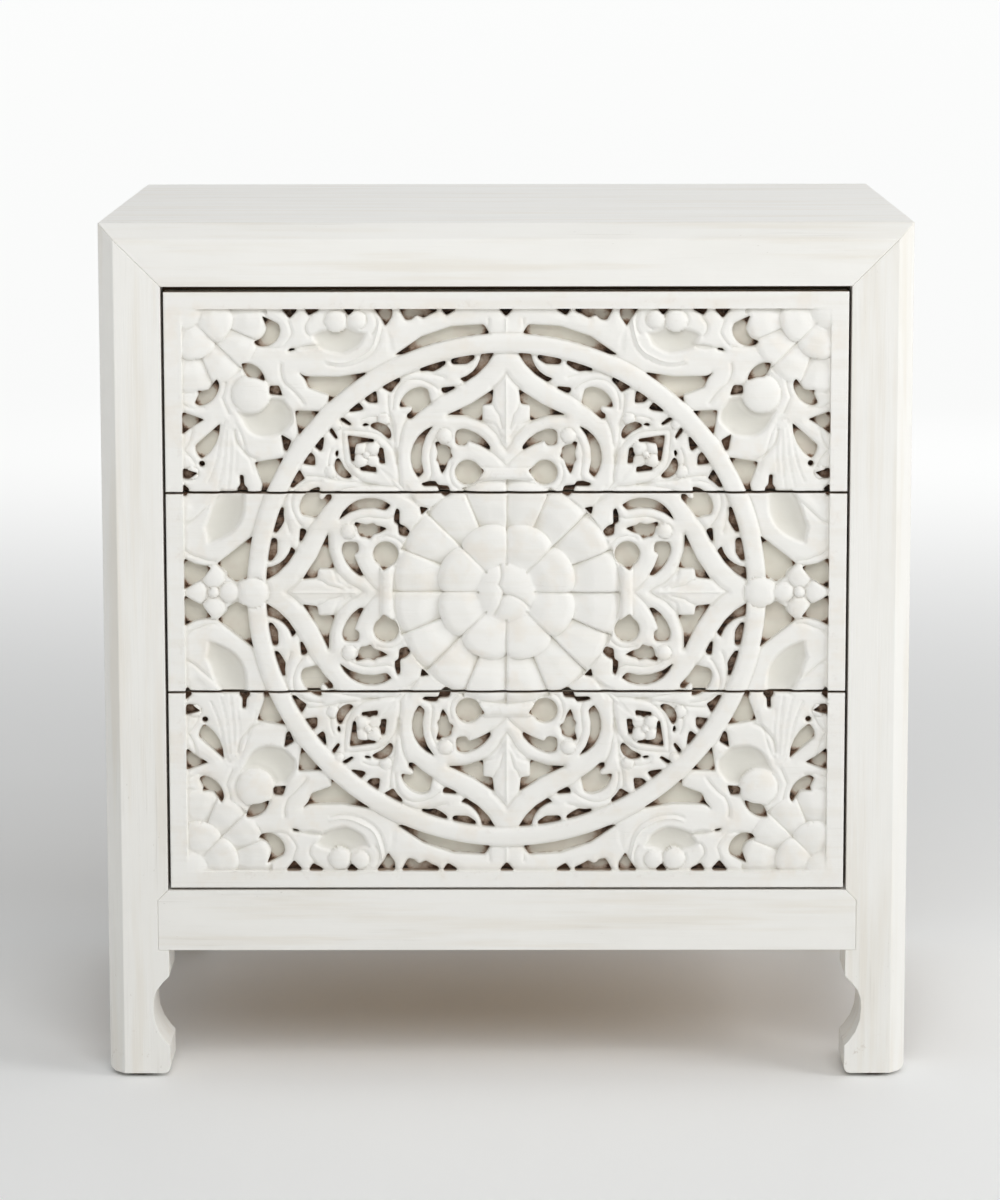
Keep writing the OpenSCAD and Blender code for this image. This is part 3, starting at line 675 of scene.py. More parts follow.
def flower(points, centre, radius, seams, crisp):
    """Depth of a two-row flower, and its share of the place of each point"""
    x, z = points[:, 0] - centre[0], points[:, 1] - centre[1]
    r = np.hypot(x, z)
    turn = np.degrees(np.arctan2(z, x))
    k = radius / FLOWER_R

    def petals(step):
        """Distance from the nearest parting line, and the place across a petal from 0 to 1"""
        nearest = turn - step * np.round(turn / step)
        return r * np.abs(np.sin(np.radians(nearest))), (turn / step) % 1

    inner_edge, outer_edge = petal_rows(turn, k)
    bud_edge = k * BUD_R
    gap, across = petals(OUTER_TURN)
    half = np.maximum(r * math.sin(math.radians(OUTER_TURN / 2)), 0.1)
    outer = 1.4 + 0.9 * crisp * np.clip(1 - gap / (1.3 * k), 0, 1)
    outer += 1.6 * (1 - np.clip(gap / half, 0, 1)) ** 2
    outer += (1.5 + 0.8 * crisp) * (across - 0.5) * (1 - np.clip(gap / half, 0, 1) ** 2)
    outer += (1.4 + 1.2 * crisp) * np.clip((r - (outer_edge - 7 * k)) / (7 * k), 0, 1) ** 2.2
    outer += (1.7 + 0.9 * crisp) * eased(1 - (r - inner_edge) / (17 * k))
    gap, across = petals(INNER_TURN)
    inner = 0.4 + 0.9 * crisp * np.clip(1 - gap / (1.3 * k), 0, 1)
    inner += 1.3 * np.clip(1 - gap / (13 * k), 0, 1) ** 2
    inner += 1.5 * (across - 0.4) * np.clip((r - bud_edge) / (18 * k), 0, 1)
    inner += (1.1 + 0.6 * crisp) * eased(1 - (r - bud_edge) / (13 * k))
    inner += (1.4 + 1.2 * crisp) * np.clip((r - (inner_edge - 8 * k)) / (8 * k), 0, 1) ** 2.4
    bud = 0.1 + 2.4 * np.clip(r / bud_edge, 0, 1) ** 3
    for line in seams:
        gap = reach(np.column_stack([x, z]) / k, bowed(line))
        bud += 1.0 * np.clip(1 - gap / 1.6, 0, 1)
        bud += 0.8 * np.clip(1 - gap / 7, 0, 1) ** 1.5
    depth = np.where(r < inner_edge, np.maximum(inner, 0.1), outer)
    depth = np.where(r < bud_edge, bud, depth)
    return depth, r < radius


def carved_depth(points, rim, edge):
    """How deep the surface lies below the plain border. rim is the distance from the pierced
    holes and edge the distance from the edge of the panel"""
    sizes = shape()
    ground, soft = sizes.ground / MM, sizes.rounding / MM
    x, z = points.T
    r = np.hypot(x, z)
    ax, az = np.abs(x), np.abs(z)
    wedge = np.column_stack([-np.minimum(ax, az), np.maximum(ax, az)])
    quarter = np.column_stack([-ax, az])
    inside = r < RING_IN
    depth = np.full(len(points), ground)

    def cut(folded, place, cuts):
        for width, deep, corners in cuts:
            line = bowed(corners)
            low, high = line.min(0) - width, line.max(0) + width
            near = place & ((folded > low) & (folded < high)).all(1)
            if near.any():
                away = reach(folded[near], line)
                depth[near] += deep * np.clip(1 - away / width, 0, 1) ** 1.5

    cut(wedge, inside, INNER_CUTS)
    outside = r > RING_OUT
    cut(quarter, outside, OUTER_CUTS)
    for deep, slope, corners in HOLLOWS:
        loop = bowed(corners)
        low, high = loop.min(0), loop.max(0)
        near = np.flatnonzero(outside & ((quarter > low) & (quarter < high)).all(1))
        near = near[within(quarter[near], loop)]
        if len(near):
            away = sunk_in(quarter[near], loop)
            depth[near] += deep * (0.5 * eased(0.12 + away / slope) + 0.5 * eased(away / (2.8 * slope)))

    # Low swell of the leaves and bands between the holes
    depth += 1.2 * np.clip(1 - rim / 8, 0, 1) ** 2

    ring = np.clip((r - (RING_IN + RING_OUT) / 2) / ((RING_OUT - RING_IN) / 2), -1, 1)
    on_ring = (r >= RING_IN) & (r <= RING_OUT)
    depth = np.where(on_ring, 0.5 + 1.7 * np.abs(ring) ** 3.2, depth)
    for radius in (RING_IN - 0.6, RING_OUT + 0.6):
        depth += 0.5 * np.clip(1 - np.abs(r - radius) / 1.4, 0, 1)

    for centre, radius, seams, crisp, place in (((0, 0), FLOWER_R, SEAMS, 1, points),
                                                (CORNER, CORNER_R, [], 0.3, quarter)):
        petals, share = flower(place, centre, radius, seams, crisp)
        depth = np.where(share, petals, depth)

    # Bars between the flower and the leaves round it
    across = np.abs(wedge[:, 1] - BAR[1]) / 4.8
    end = np.clip((-wedge[:, 0] - BAR[0]) / 3.5, 0, 1)
    on_bar = inside & (across < 1) & (end < 1)
    depth = np.where(on_bar, 0.3 + 2.4 * np.maximum(across ** 3, end ** 2), depth)

    for buds, folded, place in ((INNER_BUDS, wedge, inside), (OUTER_BUDS, quarter, r > RING_IN - 12)):
        for bx, bz, radius, height in buds:
            gap = np.hypot(folded[:, 0] - bx, folded[:, 1] - bz) / radius
            foot = place & (gap > 1) & (gap < 1.3)
            depth[foot] += 1.0 * (1 - (gap[foot] - 1) / 0.3)
            top = place & (gap <= 1)
            ball = ground + 0.8 - (height + 0.7) * np.sqrt(1 - gap[top] ** 2)
            depth[top] = np.maximum(ball, 0.1)

    # Rounded rims of the holes
    t = np.clip(rim / soft, 0, 1)
    depth += soft * 0.8 * (1 - np.sqrt(np.clip(1 - (1 - t) ** 2, 0, 1)))

    border = np.maximum(ax - FIELD[0], az - FIELD[1])
    depth = np.where(border > 0, 0.0, depth * eased(-border / 0.8))
    t = np.clip(edge / 0.6, 0, 1)
    depth += 0.6 * (1 - np.sqrt(np.clip(1 - (1 - t) ** 2, 0, 1)))
    return np.clip(depth, 0, 9.5)


def tree_of(points):
    tree = KDTree(len(points))
    for i, (x, z) in enumerate(points):
        tree.insert((x, z, 0), i)
    tree.balance()
    return tree


def gaps_to(tree, points):
    return np.array([tree.find((x, z, 0))[2] for x, z in points])


def split_up(loop, step):
    """Points at even distances round a closed line, with its corners kept"""
    made = []
    for a, b in zip(loop, np.roll(loop, -1, 0)):
        count = max(1, math.ceil(np.hypot(*(b - a)) / step))
        made += [a + (b - a) * i / count for i in range(count)]
    return np.array(made)


def loops_round(faces):
    """Closed lines of vertex numbers round the edge and the holes of a sheet of triangles"""
    sides = set()
    for a, b, c in faces.tolist():
        if len({a, b, c}) == 3:
            sides |= {(a, b), (b, c), (c, a)}
    after = {a: b for a, b in sides if (b, a) not in sides}
    loops = []
    while after:
        place = next(iter(after))
        loop = []
        while place in after:
            loop.append(place)
            place = after.pop(place)
        loops.append(np.array(loop))
    return loops


class Outline:
    """Outer edge and holes of a pierced panel, in millimetres from the middle of the medallion"""

    def __init__(self, node, step):
        mesh = frame["nodes"][node].data
        co = np.empty(len(mesh.vertices) * 3)
        mesh.vertices.foreach_get("co", co)
        co = co.reshape(-1, 3) / MM
        low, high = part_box("fret_panel_middle")
        self.centre_z = (low.z + high.z) / 2 / MM
        self.front, self.back = co[:, 1].min(), co[:, 1].max()
        tri = np.empty(len(mesh.polygons) * 3, int)
        mesh.polygons.foreach_get("vertices", tri)
        tri = tri.reshape(-1, 3)
        flat = tri[(np.abs(co[:, 1] - self.back) < 0.01)[tri].all(1)]
        spots = np.round(co[:, [0, 2]] - (0, self.centre_z), 2)
        spots, number = np.unique(spots, axis=0, return_inverse=True)
        (self.left, self.low), (self.right, self.high) = spots.min(0), spots.max(0)
        self.loops = []
        for loop in loops_round(number.ravel()[flat]):
            self.loops.append(self.softened(split_up(spots[loop], step)))
        fine = np.concatenate([split_up(loop, 0.25) for loop in self.loops])
        self.tree = tree_of(fine)
        self.rim_tree = tree_of(fine[self.edge_gap(fine) > 0.02])

    def softened(self, loop):
        """Corners worn round, except where the panel ends"""
        fixed = self.edge_gap(loop) < 0.02
        for _ in range(3):
            mean = loop * 0.5 + np.roll(loop, 1, 0) * 0.25 + np.roll(loop, -1, 0) * 0.25
            loop = np.where(fixed[:, None], loop, mean)
        return loop

    def edge_gap(self, p):
        """Distance from the edge of the panel"""
        x, z = p.T
        return np.minimum.reduce([x - self.left, self.right - x, z - self.low, self.high - z])

    def place(self, points, y):
        """Points of the panel in the scene, at a depth each or at one for all"""
        y = np.broadcast_to(y, len(points))
        return (np.column_stack([points[:, 0], y, points[:, 1] + self.centre_z]) * MM).tolist()

    def spots_in_holes(self, offs, step, from_edge, from_rim):
        """Rows along the rims of the holes, and a grid between them"""
        x, z = np.meshgrid(np.arange(self.left, self.right, step), np.arange(self.low, self.high, step))
        spots = np.concatenate([beside(self.loops, off) for off in offs]
                               + [np.column_stack([x.ravel(), z.ravel()])])
        spots = spots[(self.edge_gap(spots) > from_edge) & ~self.solid(spots)]
        return spots[gaps_to(self.tree, spots) > from_rim]

    def openness(self, points):
        """How wide the hole round a point is: 0 in a narrow one, 1 in a wide one"""
        spots = self.spots_in_holes((0.8, 1.8), 1.9, 0.5, 0.7)
        verts, faces = triangulated(np.concatenate(self.loops + [spots]), numbered(self.loops),
                                    lambda middles: ~self.solid(middles))
        room = averaged(gaps_to(self.rim_tree, verts), faces, 16)
        used = np.unique(faces)
        tree = tree_of(verts[used])
        found = np.array([room[used[tree.find((x, z, 0))[1]]] for x, z in points])
        return eased((found - 1.0) / 0.75)

    def solid(self, points):
        """True for the points on the wood"""
        order = np.argsort(points[:, 1])
        x, z = points[order].T
        flags = np.zeros(len(points), bool)
        for loop in self.loops:
            for a, b in zip(loop, np.roll(loop, -1, 0)):
                if a[1] != b[1]:
                    i, j = np.searchsorted(z, sorted((a[1], b[1])))
                    flags[i:j] ^= x[i:j] < a[0] + (z[i:j] - a[1]) * (b[0] - a[0]) / (b[1] - a[1])
        inside = np.empty(len(points), bool)
        inside[order] = flags
        return inside


def averaged(values, faces, rounds):
    """Values at the corners of triangles, evened out with their neighbours"""
    pairs = np.concatenate([faces[:, [0, 1]], faces[:, [1, 2]], faces[:, [2, 0]]])
    pairs = np.concatenate([pairs, pairs[:, ::-1]])
    weight = np.maximum(np.bincount(pairs[:, 0], minlength=len(values)), 1)
    for _ in range(rounds):
        values = values * 0.3 + 0.7 * np.bincount(pairs[:, 0], values[pairs[:, 1]], len(values)) / weight
    return values


def unfolded(line, copies):
    """A folded line in all its mirrored places"""
    made = []
    for sx in (1, -1):
        for sz in (1, -1):
            made.append(line * (sx, sz))
            if copies == 8:
                made.append(line[:, ::-1] * (sx, -sz))
    return made


def guide_points(step):
    """Points along the cuts, the rims and the petals, where the surface turns sharply"""
    lines = []
    for drawn, copies in ((INNER_CUTS, 8), (OUTER_CUTS, 4), (HOLLOWS, 4)):
        for _, _, corners in drawn:
            lines += unfolded(bowed(corners), copies)
    round_step = np.radians(np.arange(0, 360, 0.3))
    circle = np.column_stack([np.cos(round_step), np.sin(round_step)])
    for radius in (RING_IN, RING_IN - 0.7, RING_OUT, RING_OUT + 0.7):
        lines.append(circle * radius)
    for centre, radius, whole in (((0, 0), FLOWER_R, True), (CORNER, CORNER_R, False)):
        k = radius / FLOWER_R
        inner, outer = petal_rows(np.degrees(round_step), k)
        rows = [circle * outer[:, None], circle * radius, circle * inner[:, None],
                circle * (inner[:, None] + 0.5), circle * (k * BUD_R)]
        for turn in np.arange(0, 360, OUTER_TURN):
            way = np.array([math.cos(math.radians(turn)), math.sin(math.radians(turn))])
            start = BUD_R if turn % INNER_TURN == 0 else 53
            for side in (-0.4, 0.4):
                rows.append(np.array([way * start * k, way * radius]) + side * np.array([-way[1], way[0]]))
        if whole:
            rows += [bowed(seam) for seam in SEAMS]
            lines += rows
        else:
            for row in rows:
                lines += unfolded(row + centre, 4)
    found = []
    for line in lines:
        run = np.hypot(*np.diff(line, axis=0).T)
        total = run.sum()
        if total < step:
            continue
        at = np.concatenate([[0], np.cumsum(run)])
        place = np.arange(0, total, step * 0.9)
        found.append(np.column_stack([np.interp(place, at, line[:, 0]), np.interp(place, at, line[:, 1])]))
    for side in (-1, 1):
        for off in (0.05, 0.85):
            x = np.arange(-FIELD[0], FIELD[0], step * 0.9)
            found.append(np.column_stack([x, np.full(len(x), side * (FIELD[1] - off))]))
            z = np.arange(-FIELD[1], FIELD[1], step * 0.9)
            found.append(np.column_stack([np.full(len(z), side * (FIELD[0] - off)), z]))
    return np.concatenate(found)


def triangulated(points, loops, keep):
    """Triangles over points and closed loops, of those whose middle passes the test"""
    lines = []
    for numbers in loops:
        lines += list(zip(numbers, np.roll(numbers, -1)))
    lines = [(int(a), int(b)) for a, b in lines]
    verts, _, faces = delaunay_2d_cdt([Vector(p) for p in points], lines, [], 0, 1e-4)[:3]
    verts = np.array([tuple(v) for v in verts])
    faces = np.array(faces)
    faces = faces[keep(verts[faces].mean(1))]
    a, b, c = verts[faces[:, 0]], verts[faces[:, 1]], verts[faces[:, 2]]
    area = (b - a)[:, 0] * (c - a)[:, 1] - (b - a)[:, 1] * (c - a)[:, 0]
    faces[area < 0] = faces[area < 0][:, ::-1]
    return verts, faces[np.abs(area) > 1e-7]


def numbered(loops):
    """Places of each loop's points in a list of them all"""
    made, start = [], 0
    for loop in loops:
        made.append(np.arange(start, start + len(loop)))
        start += len(loop)
    return made


def beside(loops, off):
    """Points at a distance on both sides of closed lines"""
    made = []
    for loop in loops:
        run = np.roll(loop, -1, 0) - np.roll(loop, 1, 0)
        side = np.column_stack([-run[:, 1], run[:, 0]]) / np.maximum(np.hypot(*run.T), 1e-6)[:, None]
        made += [loop + side * off, loop - side * off]
    return np.concatenate(made)


def carved_panel(level, name):
    """One drawer front's share of the medallion, as a closed mesh"""
    step = shape().facet / MM
    panel = Outline("fret_panel_" + level, step)
    near, rims = panel.tree, panel.rim_tree

    # Rows of points along the rims, then the lines of the relief, then a grid
    chosen = []
    for off in (0.5, 1.2):
        row = beside(panel.loops, off)
        row = row[(panel.edge_gap(row) > 0.3) & panel.solid(row)]
        chosen.append(row[gaps_to(near, row) > off * 0.9])
    guides = guide_points(step)
    guides = guides[panel.edge_gap(guides) > 0.3]
    guides = guides[panel.solid(guides)]
    chosen.append(guides[gaps_to(near, guides) > 1.5])
    x, z = np.meshgrid(np.arange(panel.left + step / 2, panel.right, step),
                       np.arange(panel.low + step / 2, panel.high, step))
    plain = (np.abs(x) > FIELD[0] + 1.5) | (np.abs(z) > FIELD[1] + 1.5)
    sparse = (np.indices(x.shape) % 4 == 0).all(0)
    grid = np.column_stack([x[~plain | sparse], z[~plain | sparse]])
    grid = grid[panel.solid(grid)]
    grid = grid[gaps_to(near, grid) > 1.2 + step * 0.5]
    taken = tree_of(np.concatenate(chosen))
    chosen.append(grid[gaps_to(taken, grid) > step * 0.62])
    loops = numbered(panel.loops)
    verts, faces = triangulated(np.concatenate(panel.loops + chosen), loops, panel.solid)
    depth = carved_depth(verts, gaps_to(rims, verts), np.maximum(panel.edge_gap(verts), 0))

    # Walls go back from the free edges of the front
    rings = loops_round(faces)
    ends = np.concatenate(rings)
    index = numbered(rings)
    count, thick = len(verts), panel.back - panel.front
    narrow = np.where(panel.edge_gap(verts[ends]) > 0.02, 1 - panel.openness(verts[ends]), 1.0)
    places = panel.place(verts, panel.front + depth)
    bare = [np.zeros(count)]
    for share, brown in ((0.16, 0.35), (0.5, 0.95), (1.0, 1.0)):
        deep = depth[ends] + (thick - depth[ends]) * share
        places += panel.place(verts[ends], panel.front + deep)
        bare.append(brown * narrow)
    quads = []
    for numbers, ring in zip(index, rings):
        rows = [ring] + [count + i * len(ends) + numbers for i in range(3)]
        for upper, lower in zip(rows[:-1], rows[1:]):
            next_upper, next_lower = np.roll(upper, -1), np.roll(lower, -1)
            quads += np.column_stack([next_upper, upper, lower, next_lower]).tolist()
    back_verts, back_faces = triangulated(verts[ends], index, panel.solid)
    back_tree = tree_of(verts[ends])
    match = np.array([back_tree.find((x, z, 0))[1] for x, z in back_verts])
    back = (match[back_faces] + count + 2 * len(ends))[:, ::-1]

    # How much a point lies below or above what is round it
    relief = np.clip((depth - averaged(depth, faces, 14)) * 1.6, -1.5, 1.5)
    relief = np.concatenate([relief, np.zeros(3 * len(ends))])

    mesh = bpy.data.meshes.new(name)
    mesh.from_pydata(places, [], faces.tolist() + quads + back.tolist())
    mesh.validate()
    # relief and sunk set the painted shade in the cuts and hollows of the paint
    add_attribute(mesh, "relief", relief)
    add_attribute(mesh, "bare", np.concatenate(bare))
    add_attribute(mesh, "sunk", np.concatenate([depth, np.zeros(3 * len(ends))]))
    piece = added(name, mesh)
    work_on(piece)
    bpy.ops.object.shade_smooth_by_angle(angle=math.radians(52))
    return piece


def add_attribute(mesh, name, values):
    mesh.attributes.new(name, "FLOAT", "POINT").data.foreach_set("value", values.astype(np.float32))


def backing_board(level, name):
    """The board behind a carved panel, its front face divided where the holes show it"""
    step = 1.4
    panel = Outline("fret_panel_" + level, step)
    node = "front_board_" + level
    low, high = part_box(node)
    margin = 0.3
    loops = []
    for loop in panel.loops:
        loops.append(np.column_stack([np.clip(loop[:, 0], panel.left + margin, panel.right - margin),
                                      np.clip(loop[:, 1], panel.low + margin, panel.high - margin)]))
    corners = np.array([(x, z) for x in (panel.left, panel.right) for z in (panel.low, panel.high)])
    spots = panel.spots_in_holes((0.7, 1.6, 2.8), 2.2, 0.8, 0.6)
    verts, faces = triangulated(np.concatenate(loops + [spots, corners]), numbered(loops),
                                lambda middles: np.full(len(middles), True))
    face = bpy.data.meshes.new("patch")
    face.from_pydata(panel.place(verts, low.y / MM), [], faces.tolist())
    add_attribute(face, "open", panel.openness(verts))
    patch = added("patch", face)

    board = merged_copy(node, name)
    add_attribute(board.data, "open", np.ones(len(board.data.vertices)))
    for side in board.data.polygons:
        side.select = side.normal.y < -0.99 and abs(side.center.y - low.y) < 0.00001
    mode("EDIT")
    bpy.ops.mesh.select_mode(type="FACE")
    bpy.ops.mesh.delete(type="ONLY_FACE")
    mode("OBJECT")
    patch.select_set(True)
    bpy.ops.object.join()
    mode("EDIT")
    bpy.ops.mesh.select_all(action="SELECT")
    bpy.ops.mesh.remove_doubles(threshold=0.00002)
    mode("OBJECT")
    bpy.ops.object.shade_smooth_by_angle(angle=SOFTEN)
    return board


class CHEST_OT_paint_case(bpy.types.Operator):
    """Ease the edges of the case's boards and legs and paint them white"""
    bl_idname = "chest.paint_case"
    bl_label = "Paint the case"

    def execute(self, context):
        for node, grain in PAINTED.items():
            piece = eased_copy(node, "painted_" + node, shape().eased_edge)
            settle(piece, node, painted_wood("paint_" + node, grain))
        return {"FINISHED"}


class CHEST_OT_carve_fronts(bpy.types.Operator):
    """Carve the three pierced panels of the medallion"""
    bl_idname = "chest.carve_fronts"
    bl_label = "Carve the fronts"

    def execute(self, context):
        coat = painted_carving("paint_carving")
        for level in LEVELS:
            piece = carved_panel(level, "carved_panel_" + level)
            settle(piece, "fret_panel_" + level, coat)
        return {"FINISHED"}


class CHEST_OT_build_drawers(bpy.types.Operator):
    """Finish the boards behind the carving and the drawer boxes"""
    bl_idname = "chest.build_drawers"
    bl_label = "Build the drawers"

    def execute(self, context):
        for i, level in enumerate(LEVELS):
            backing = backing_board(level, "backing_" + level)
            settle(backing, "front_board_" + level, painted_backing("paint_backing_" + level, 2.3 * i))
            boards = {
                "drawer_side_left": bare_wood("wood_side_left_" + level, "y"),
                "drawer_side_right": bare_wood("wood_side_right_" + level, "y"),
                "drawer_back": bare_wood("wood_back_" + level, "x"),
                "stop_block": bare_wood("wood_stop_" + level, "x"),
            }
            low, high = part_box("drawer_bottom_" + level)
            boards["drawer_bottom"] = plywood("ply_bottom_" + level, "x", "z", low.z, high.z - low.z)
            for part, material in boards.items():
                node = f"{part}_{level}"
                settle(eased_copy(node, "finished_" + node, BOX_EDGE), node, material)
        return {"FINISHED"}


class CHEST_OT_finish_inside(bpy.types.Operator):
    """Give the strips, runners, back and bottom of the case their wood"""
    bl_idname = "chest.finish_inside"
    bl_label = "Finish the inside"

    def execute(self, context):
        # Strips behind the gaps of the drawers get a near black painted shade
        for node, grain in STRIPS.items():
            dress(frame["nodes"][node], bare_wood("wood_" + node, grain, node in GAP_SHADED))
        low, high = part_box("dust_board")
        dress(frame["nodes"]["dust_board"], plywood("ply_dust_board", "x", "z", low.z, high.z - low.z))
        low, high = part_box("back_board")
        piece = eased_copy("back_board", "finished_back_board", BACK_EDGE)
        settle(piece, "back_board", plywood("ply_back_board", "z", "y", low.y, high.y - low.y))
        return {"FINISHED"}


class CHEST_OT_drive_screws(bpy.types.Operator):
    """Replace the plain screws with screws that have a cross recess"""
    bl_idname = "chest.drive_screws"
    bl_label = "Drive the screws"

    def execute(self, context):
        steel = plated_steel("zinc_plate")
        screw = self.made_screw()
        for node in ["back_board_screws"] + ["drawer_screws_" + level for level in LEVELS]:
            group = []
            for head, way in self.heads(node):
                copy = added("screw", screw.data.copy())
                turn = way.to_track_quat("Z", "Y").to_matrix().to_4x4()
                copy.data.transform(Matrix.Translation(head) @ turn)
                group.append(copy)
            deselect()
            for copy in group:
                copy.select_set(True)
            bpy.context.view_layer.objects.active = group[0]
            bpy.ops.object.join()
            piece = bpy.context.object
            piece.name = piece.data.name = "cross_" + node
            settle(piece, node, steel)
        bpy.data.objects.remove(screw)
        return {"FINISHED"}

    def made_screw(self):
        """Countersunk screw with its head in the plane z = 0"""
        low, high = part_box("back_board_screws")
        length = high.y - low.y
        head_high, neck, tip = 0.0015, 0.0012, 0.0035
        deselect()
        bpy.ops.mesh.primitive_cone_add(vertices=24, radius1=0.0020, radius2=0.0035, depth=head_high,
                                        location=(0, 0, -head_high / 2))
        screw = bpy.context.object
        bpy.ops.object.transform_apply(location=True)
        mode("EDIT")
        bpy.ops.mesh.select_all(action="DESELECT")
        mode("OBJECT")
        for face in screw.data.polygons:
            face.select = face.center.z < -0.99 * head_high and abs(face.normal.z) > 0.9
        mode("EDIT")
        bpy.ops.mesh.select_mode(type="FACE")
        for travel, shrink in ((neck, 0.8), (length - head_high - neck - tip, 1.0), (tip, 0.15)):
            bpy.ops.mesh.extrude_region_move(TRANSFORM_OT_translate={"value": (0, 0, -travel)})
            bpy.ops.transform.resize(value=(shrink, shrink, 1))
        mode("OBJECT")
        for turn in (0, 90):
            deselect()
            bpy.ops.mesh.primitive_cube_add(size=1, location=(0, 0, 0), rotation=(0, 0, math.radians(turn)),
                                            scale=(0.0040, 0.0009, 0.0020))
            cutter = bpy.context.object
            work_on(screw)
            modified(screw, "BOOLEAN", operation="DIFFERENCE", solver="EXACT", object=cutter)
            bpy.data.objects.remove(cutter)
        work_on(screw)
        bpy.ops.object.shade_smooth_by_angle(angle=SOFTEN)
        return screw

    def heads(self, node):
        """Middle of the head and outward direction of each separate screw of a node"""
        mesh = frame["nodes"][node].data
        co = np.array([v.co for v in mesh.vertices])
        groups = {}
        for triangle in mesh.polygons:
            corners = list(triangle.vertices)
            centre = co[corners].mean(0)
            key = next((k for k in groups if np.abs(np.array(k) - centre).max() < 0.02), tuple(centre))
            groups.setdefault(key, []).extend(corners)
        found = []
        for corners in groups.values():
            mine = co[corners]
            low, high = mine.min(0), mine.max(0)
            main = int(np.argmax(high - low))
            head, way = (low + high) / 2, Vector((0, 0, 0))
            away = np.linalg.norm(np.delete(mine - head, main, 1), axis=1)
            way[main] = 1.0 if mine[away > away.max() * 0.98][:, main].mean() > head[main] else -1.0
            head[main] = high[main] if way[main] > 0 else low[main]
            found.append((Vector(head), way))
        return found


class CHEST_OT_lay_pads(bpy.types.Operator):
    """Put felt pads under the feet"""
    bl_idname = "chest.lay_pads"
    bl_label = "Lay the foot pads"

    def execute(self, context):
        settle(eased_copy("foot_pads", "felt_foot_pads", PAD_EDGE), "foot_pads", felt("brown_felt"))
        return {"FINISHED"}


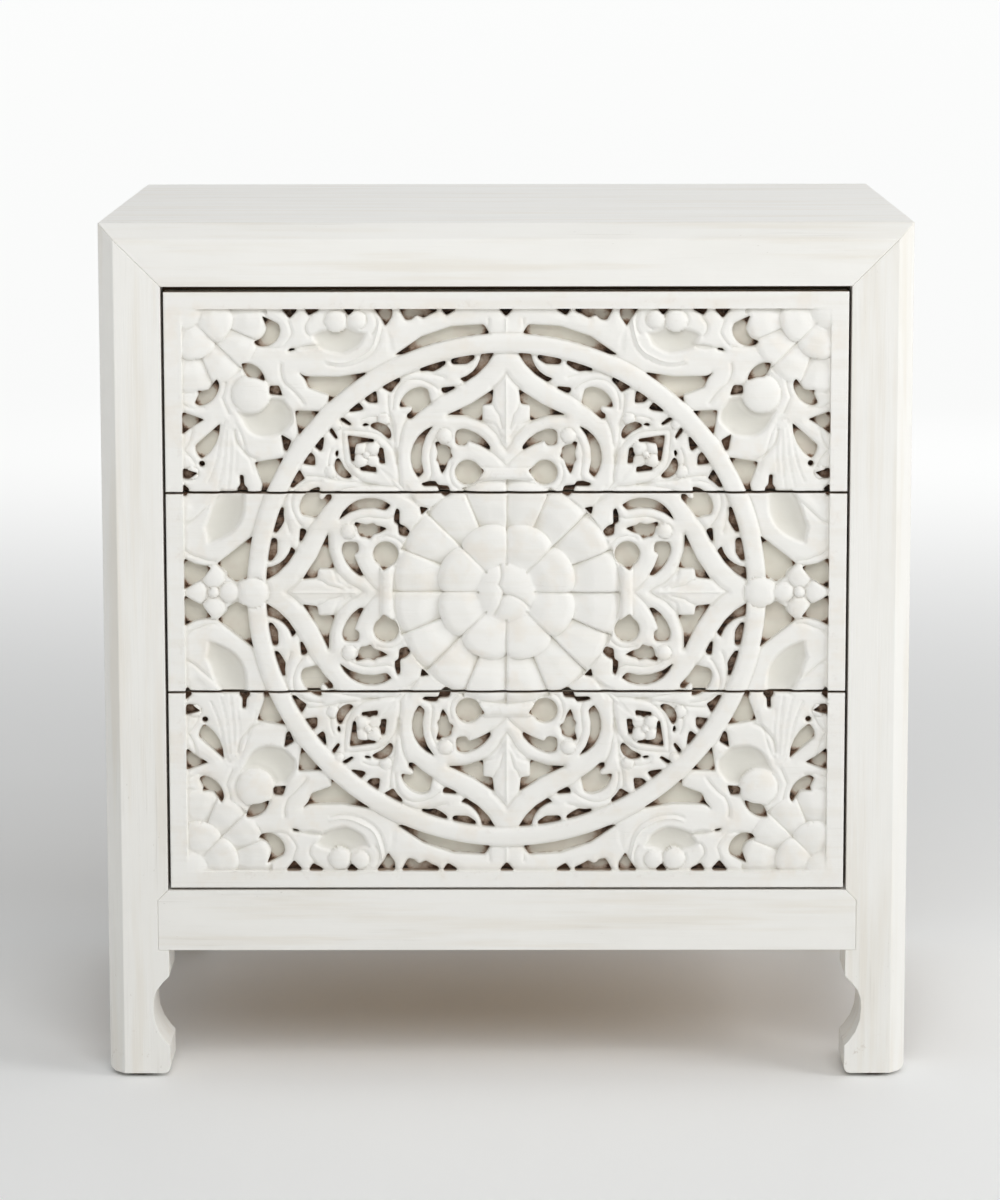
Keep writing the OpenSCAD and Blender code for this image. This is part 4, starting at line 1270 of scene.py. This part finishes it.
class CHEST_OT_set_stage(bpy.types.Operator):
    """Lay the floor, hang the lamps and set up the camera"""
    bl_idname = "chest.set_stage"
    bl_label = "Set the stage"

    def execute(self, context):
        scene = context.scene
        stage = scene.chest_stage
        deselect()
        bpy.ops.mesh.primitive_plane_add(size=160, location=(0, 0, 0))
        floor = bpy.context.object
        floor.name = "floor"
        mode("EDIT")
        bpy.ops.mesh.subdivide(number_cuts=3)
        mode("OBJECT")
        made = Finish("pale_floor")
        cloud = made.noise(2.5, 3, 0.5)
        near = made.mix(cloud * 0.12, stage.floor, tuple(0.9 * c for c in stage.floor))
        away = made.axis("x") * made.axis("x") + made.axis("y") * made.axis("y")
        far = (away ** 0.5).span(1.0, 3.6)
        made.set(Base_Color=made.mix(far, near, (0, 0, 0)), Roughness=0.75, Specular_IOR_Level=0.2,
                 Emission_Color=made.mix(far, (0, 0, 0), BACKDROP), Emission_Strength=1.0)
        dress(floor, made.material)

        world = scene.world or bpy.data.worlds.new("room")
        scene.world = world
        world.use_nodes = True
        room = Shading(world.node_tree)
        even = room.node("ShaderNodeBackground", None, (0.97, 0.985, 1.0), stage.room)
        seen = room.node("ShaderNodeBackground", None, BACKDROP, 1.0)
        rays = room.node("ShaderNodeLightPath").outputs
        shown = rays["Is Camera Ray"]
        for ray in ("Is Glossy Ray", "Is Transmission Ray"):
            shown = room.node("ShaderNodeMath", {"operation": "MAXIMUM"}, shown, rays[ray]).outputs[0]
        blend = room.node("ShaderNodeMixShader", None, shown, even.outputs[0], seen.outputs[0])
        room.node("ShaderNodeOutputWorld", None, blend.outputs[0])

        for lamp in (("front", (0.4, -3.3, 2.9), (0, 0, 0.2), 2.2, stage.front),
                     ("side", (3.6, -1.5, 2.0), (0, 0, 0.3), 1.7, stage.side),
                     ("back", (0.4, 3.6, 1.3), (0, 0, 0), 2.4, stage.back)):
            self.lamp(*lamp)
        self.camera(scene)
        scene.view_settings.view_transform = "Standard"
        return {"FINISHED"}

    def lamp(self, name, place, target, size, power):
        data = bpy.data.lights.new(name, "AREA")
        data.shape = "SQUARE"
        data.size = size
        data.energy = power
        lamp = added(name, data)
        lamp.location = place
        lamp.visible_camera = False
        lamp.rotation_euler = (Vector(target) - Vector(place)).to_track_quat("-Z", "Y").to_euler()

    def camera(self, scene):
        """Long lens in front of the chest, a little above it and turned down"""
        data = bpy.data.cameras.new("camera")
        data.sensor_width = 36
        data.lens = 120.873
        data.shift_y = -0.09
        data.dof.use_dof = False
        camera = added("camera", data)
        stand = (0.00615, -3.2073, 0.8885)
        tilt, swing, roll = math.radians(8.274), math.radians(0.208), math.radians(-0.088)
        turn = (Matrix.Rotation(swing, 4, "Z") @ Matrix.Rotation(math.pi / 2 - tilt, 4, "X")
                @ Matrix.Rotation(roll, 4, "Z"))
        camera.matrix_world = Matrix.Translation(stand) @ turn
        scene.camera = camera


STEPS = (CHEST_OT_set_stage, CHEST_OT_paint_case, CHEST_OT_carve_fronts, CHEST_OT_build_drawers,
         CHEST_OT_finish_inside, CHEST_OT_drive_screws, CHEST_OT_lay_pads)


class CHEST_PT_panel(bpy.types.Panel):
    """Steps and settings of the chest"""
    bl_label = "Chest"
    bl_idname = "CHEST_PT_panel"
    bl_space_type = "VIEW_3D"
    bl_region_type = "UI"
    bl_category = "Chest"

    def draw(self, context):
        for group in (context.scene.chest_finish, context.scene.chest_shape, context.scene.chest_stage):
            column = self.layout.column(align=True)
            for key in group.__annotations__:
                column.prop(group, key)
        for step in STEPS:
            self.layout.operator(step.bl_idname)


GROUPS = {"chest_finish": ChestFinish, "chest_shape": ChestShape, "chest_stage": ChestStage}


def register():
    for name, group in GROUPS.items():
        bpy.utils.register_class(group)
        setattr(bpy.types.Scene, name, bpy.props.PointerProperty(type=group))
    for step in STEPS:
        bpy.utils.register_class(step)
    bpy.utils.register_class(CHEST_PT_panel)


def unregister():
    bpy.utils.unregister_class(CHEST_PT_panel)
    for step in reversed(STEPS):
        bpy.utils.unregister_class(step)
    for name, group in reversed(list(GROUPS.items())):
        delattr(bpy.types.Scene, name)
        bpy.utils.unregister_class(group)


def main():
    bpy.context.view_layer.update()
    register()
    bpy.ops.chest.set_stage()
    bpy.ops.chest.paint_case()
    bpy.ops.chest.carve_fronts()
    bpy.ops.chest.build_drawers()
    bpy.ops.chest.finish_inside()
    bpy.ops.chest.drive_screws()
    bpy.ops.chest.lay_pads()
    deselect()
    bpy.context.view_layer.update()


if __name__ == "__main__":
    main()
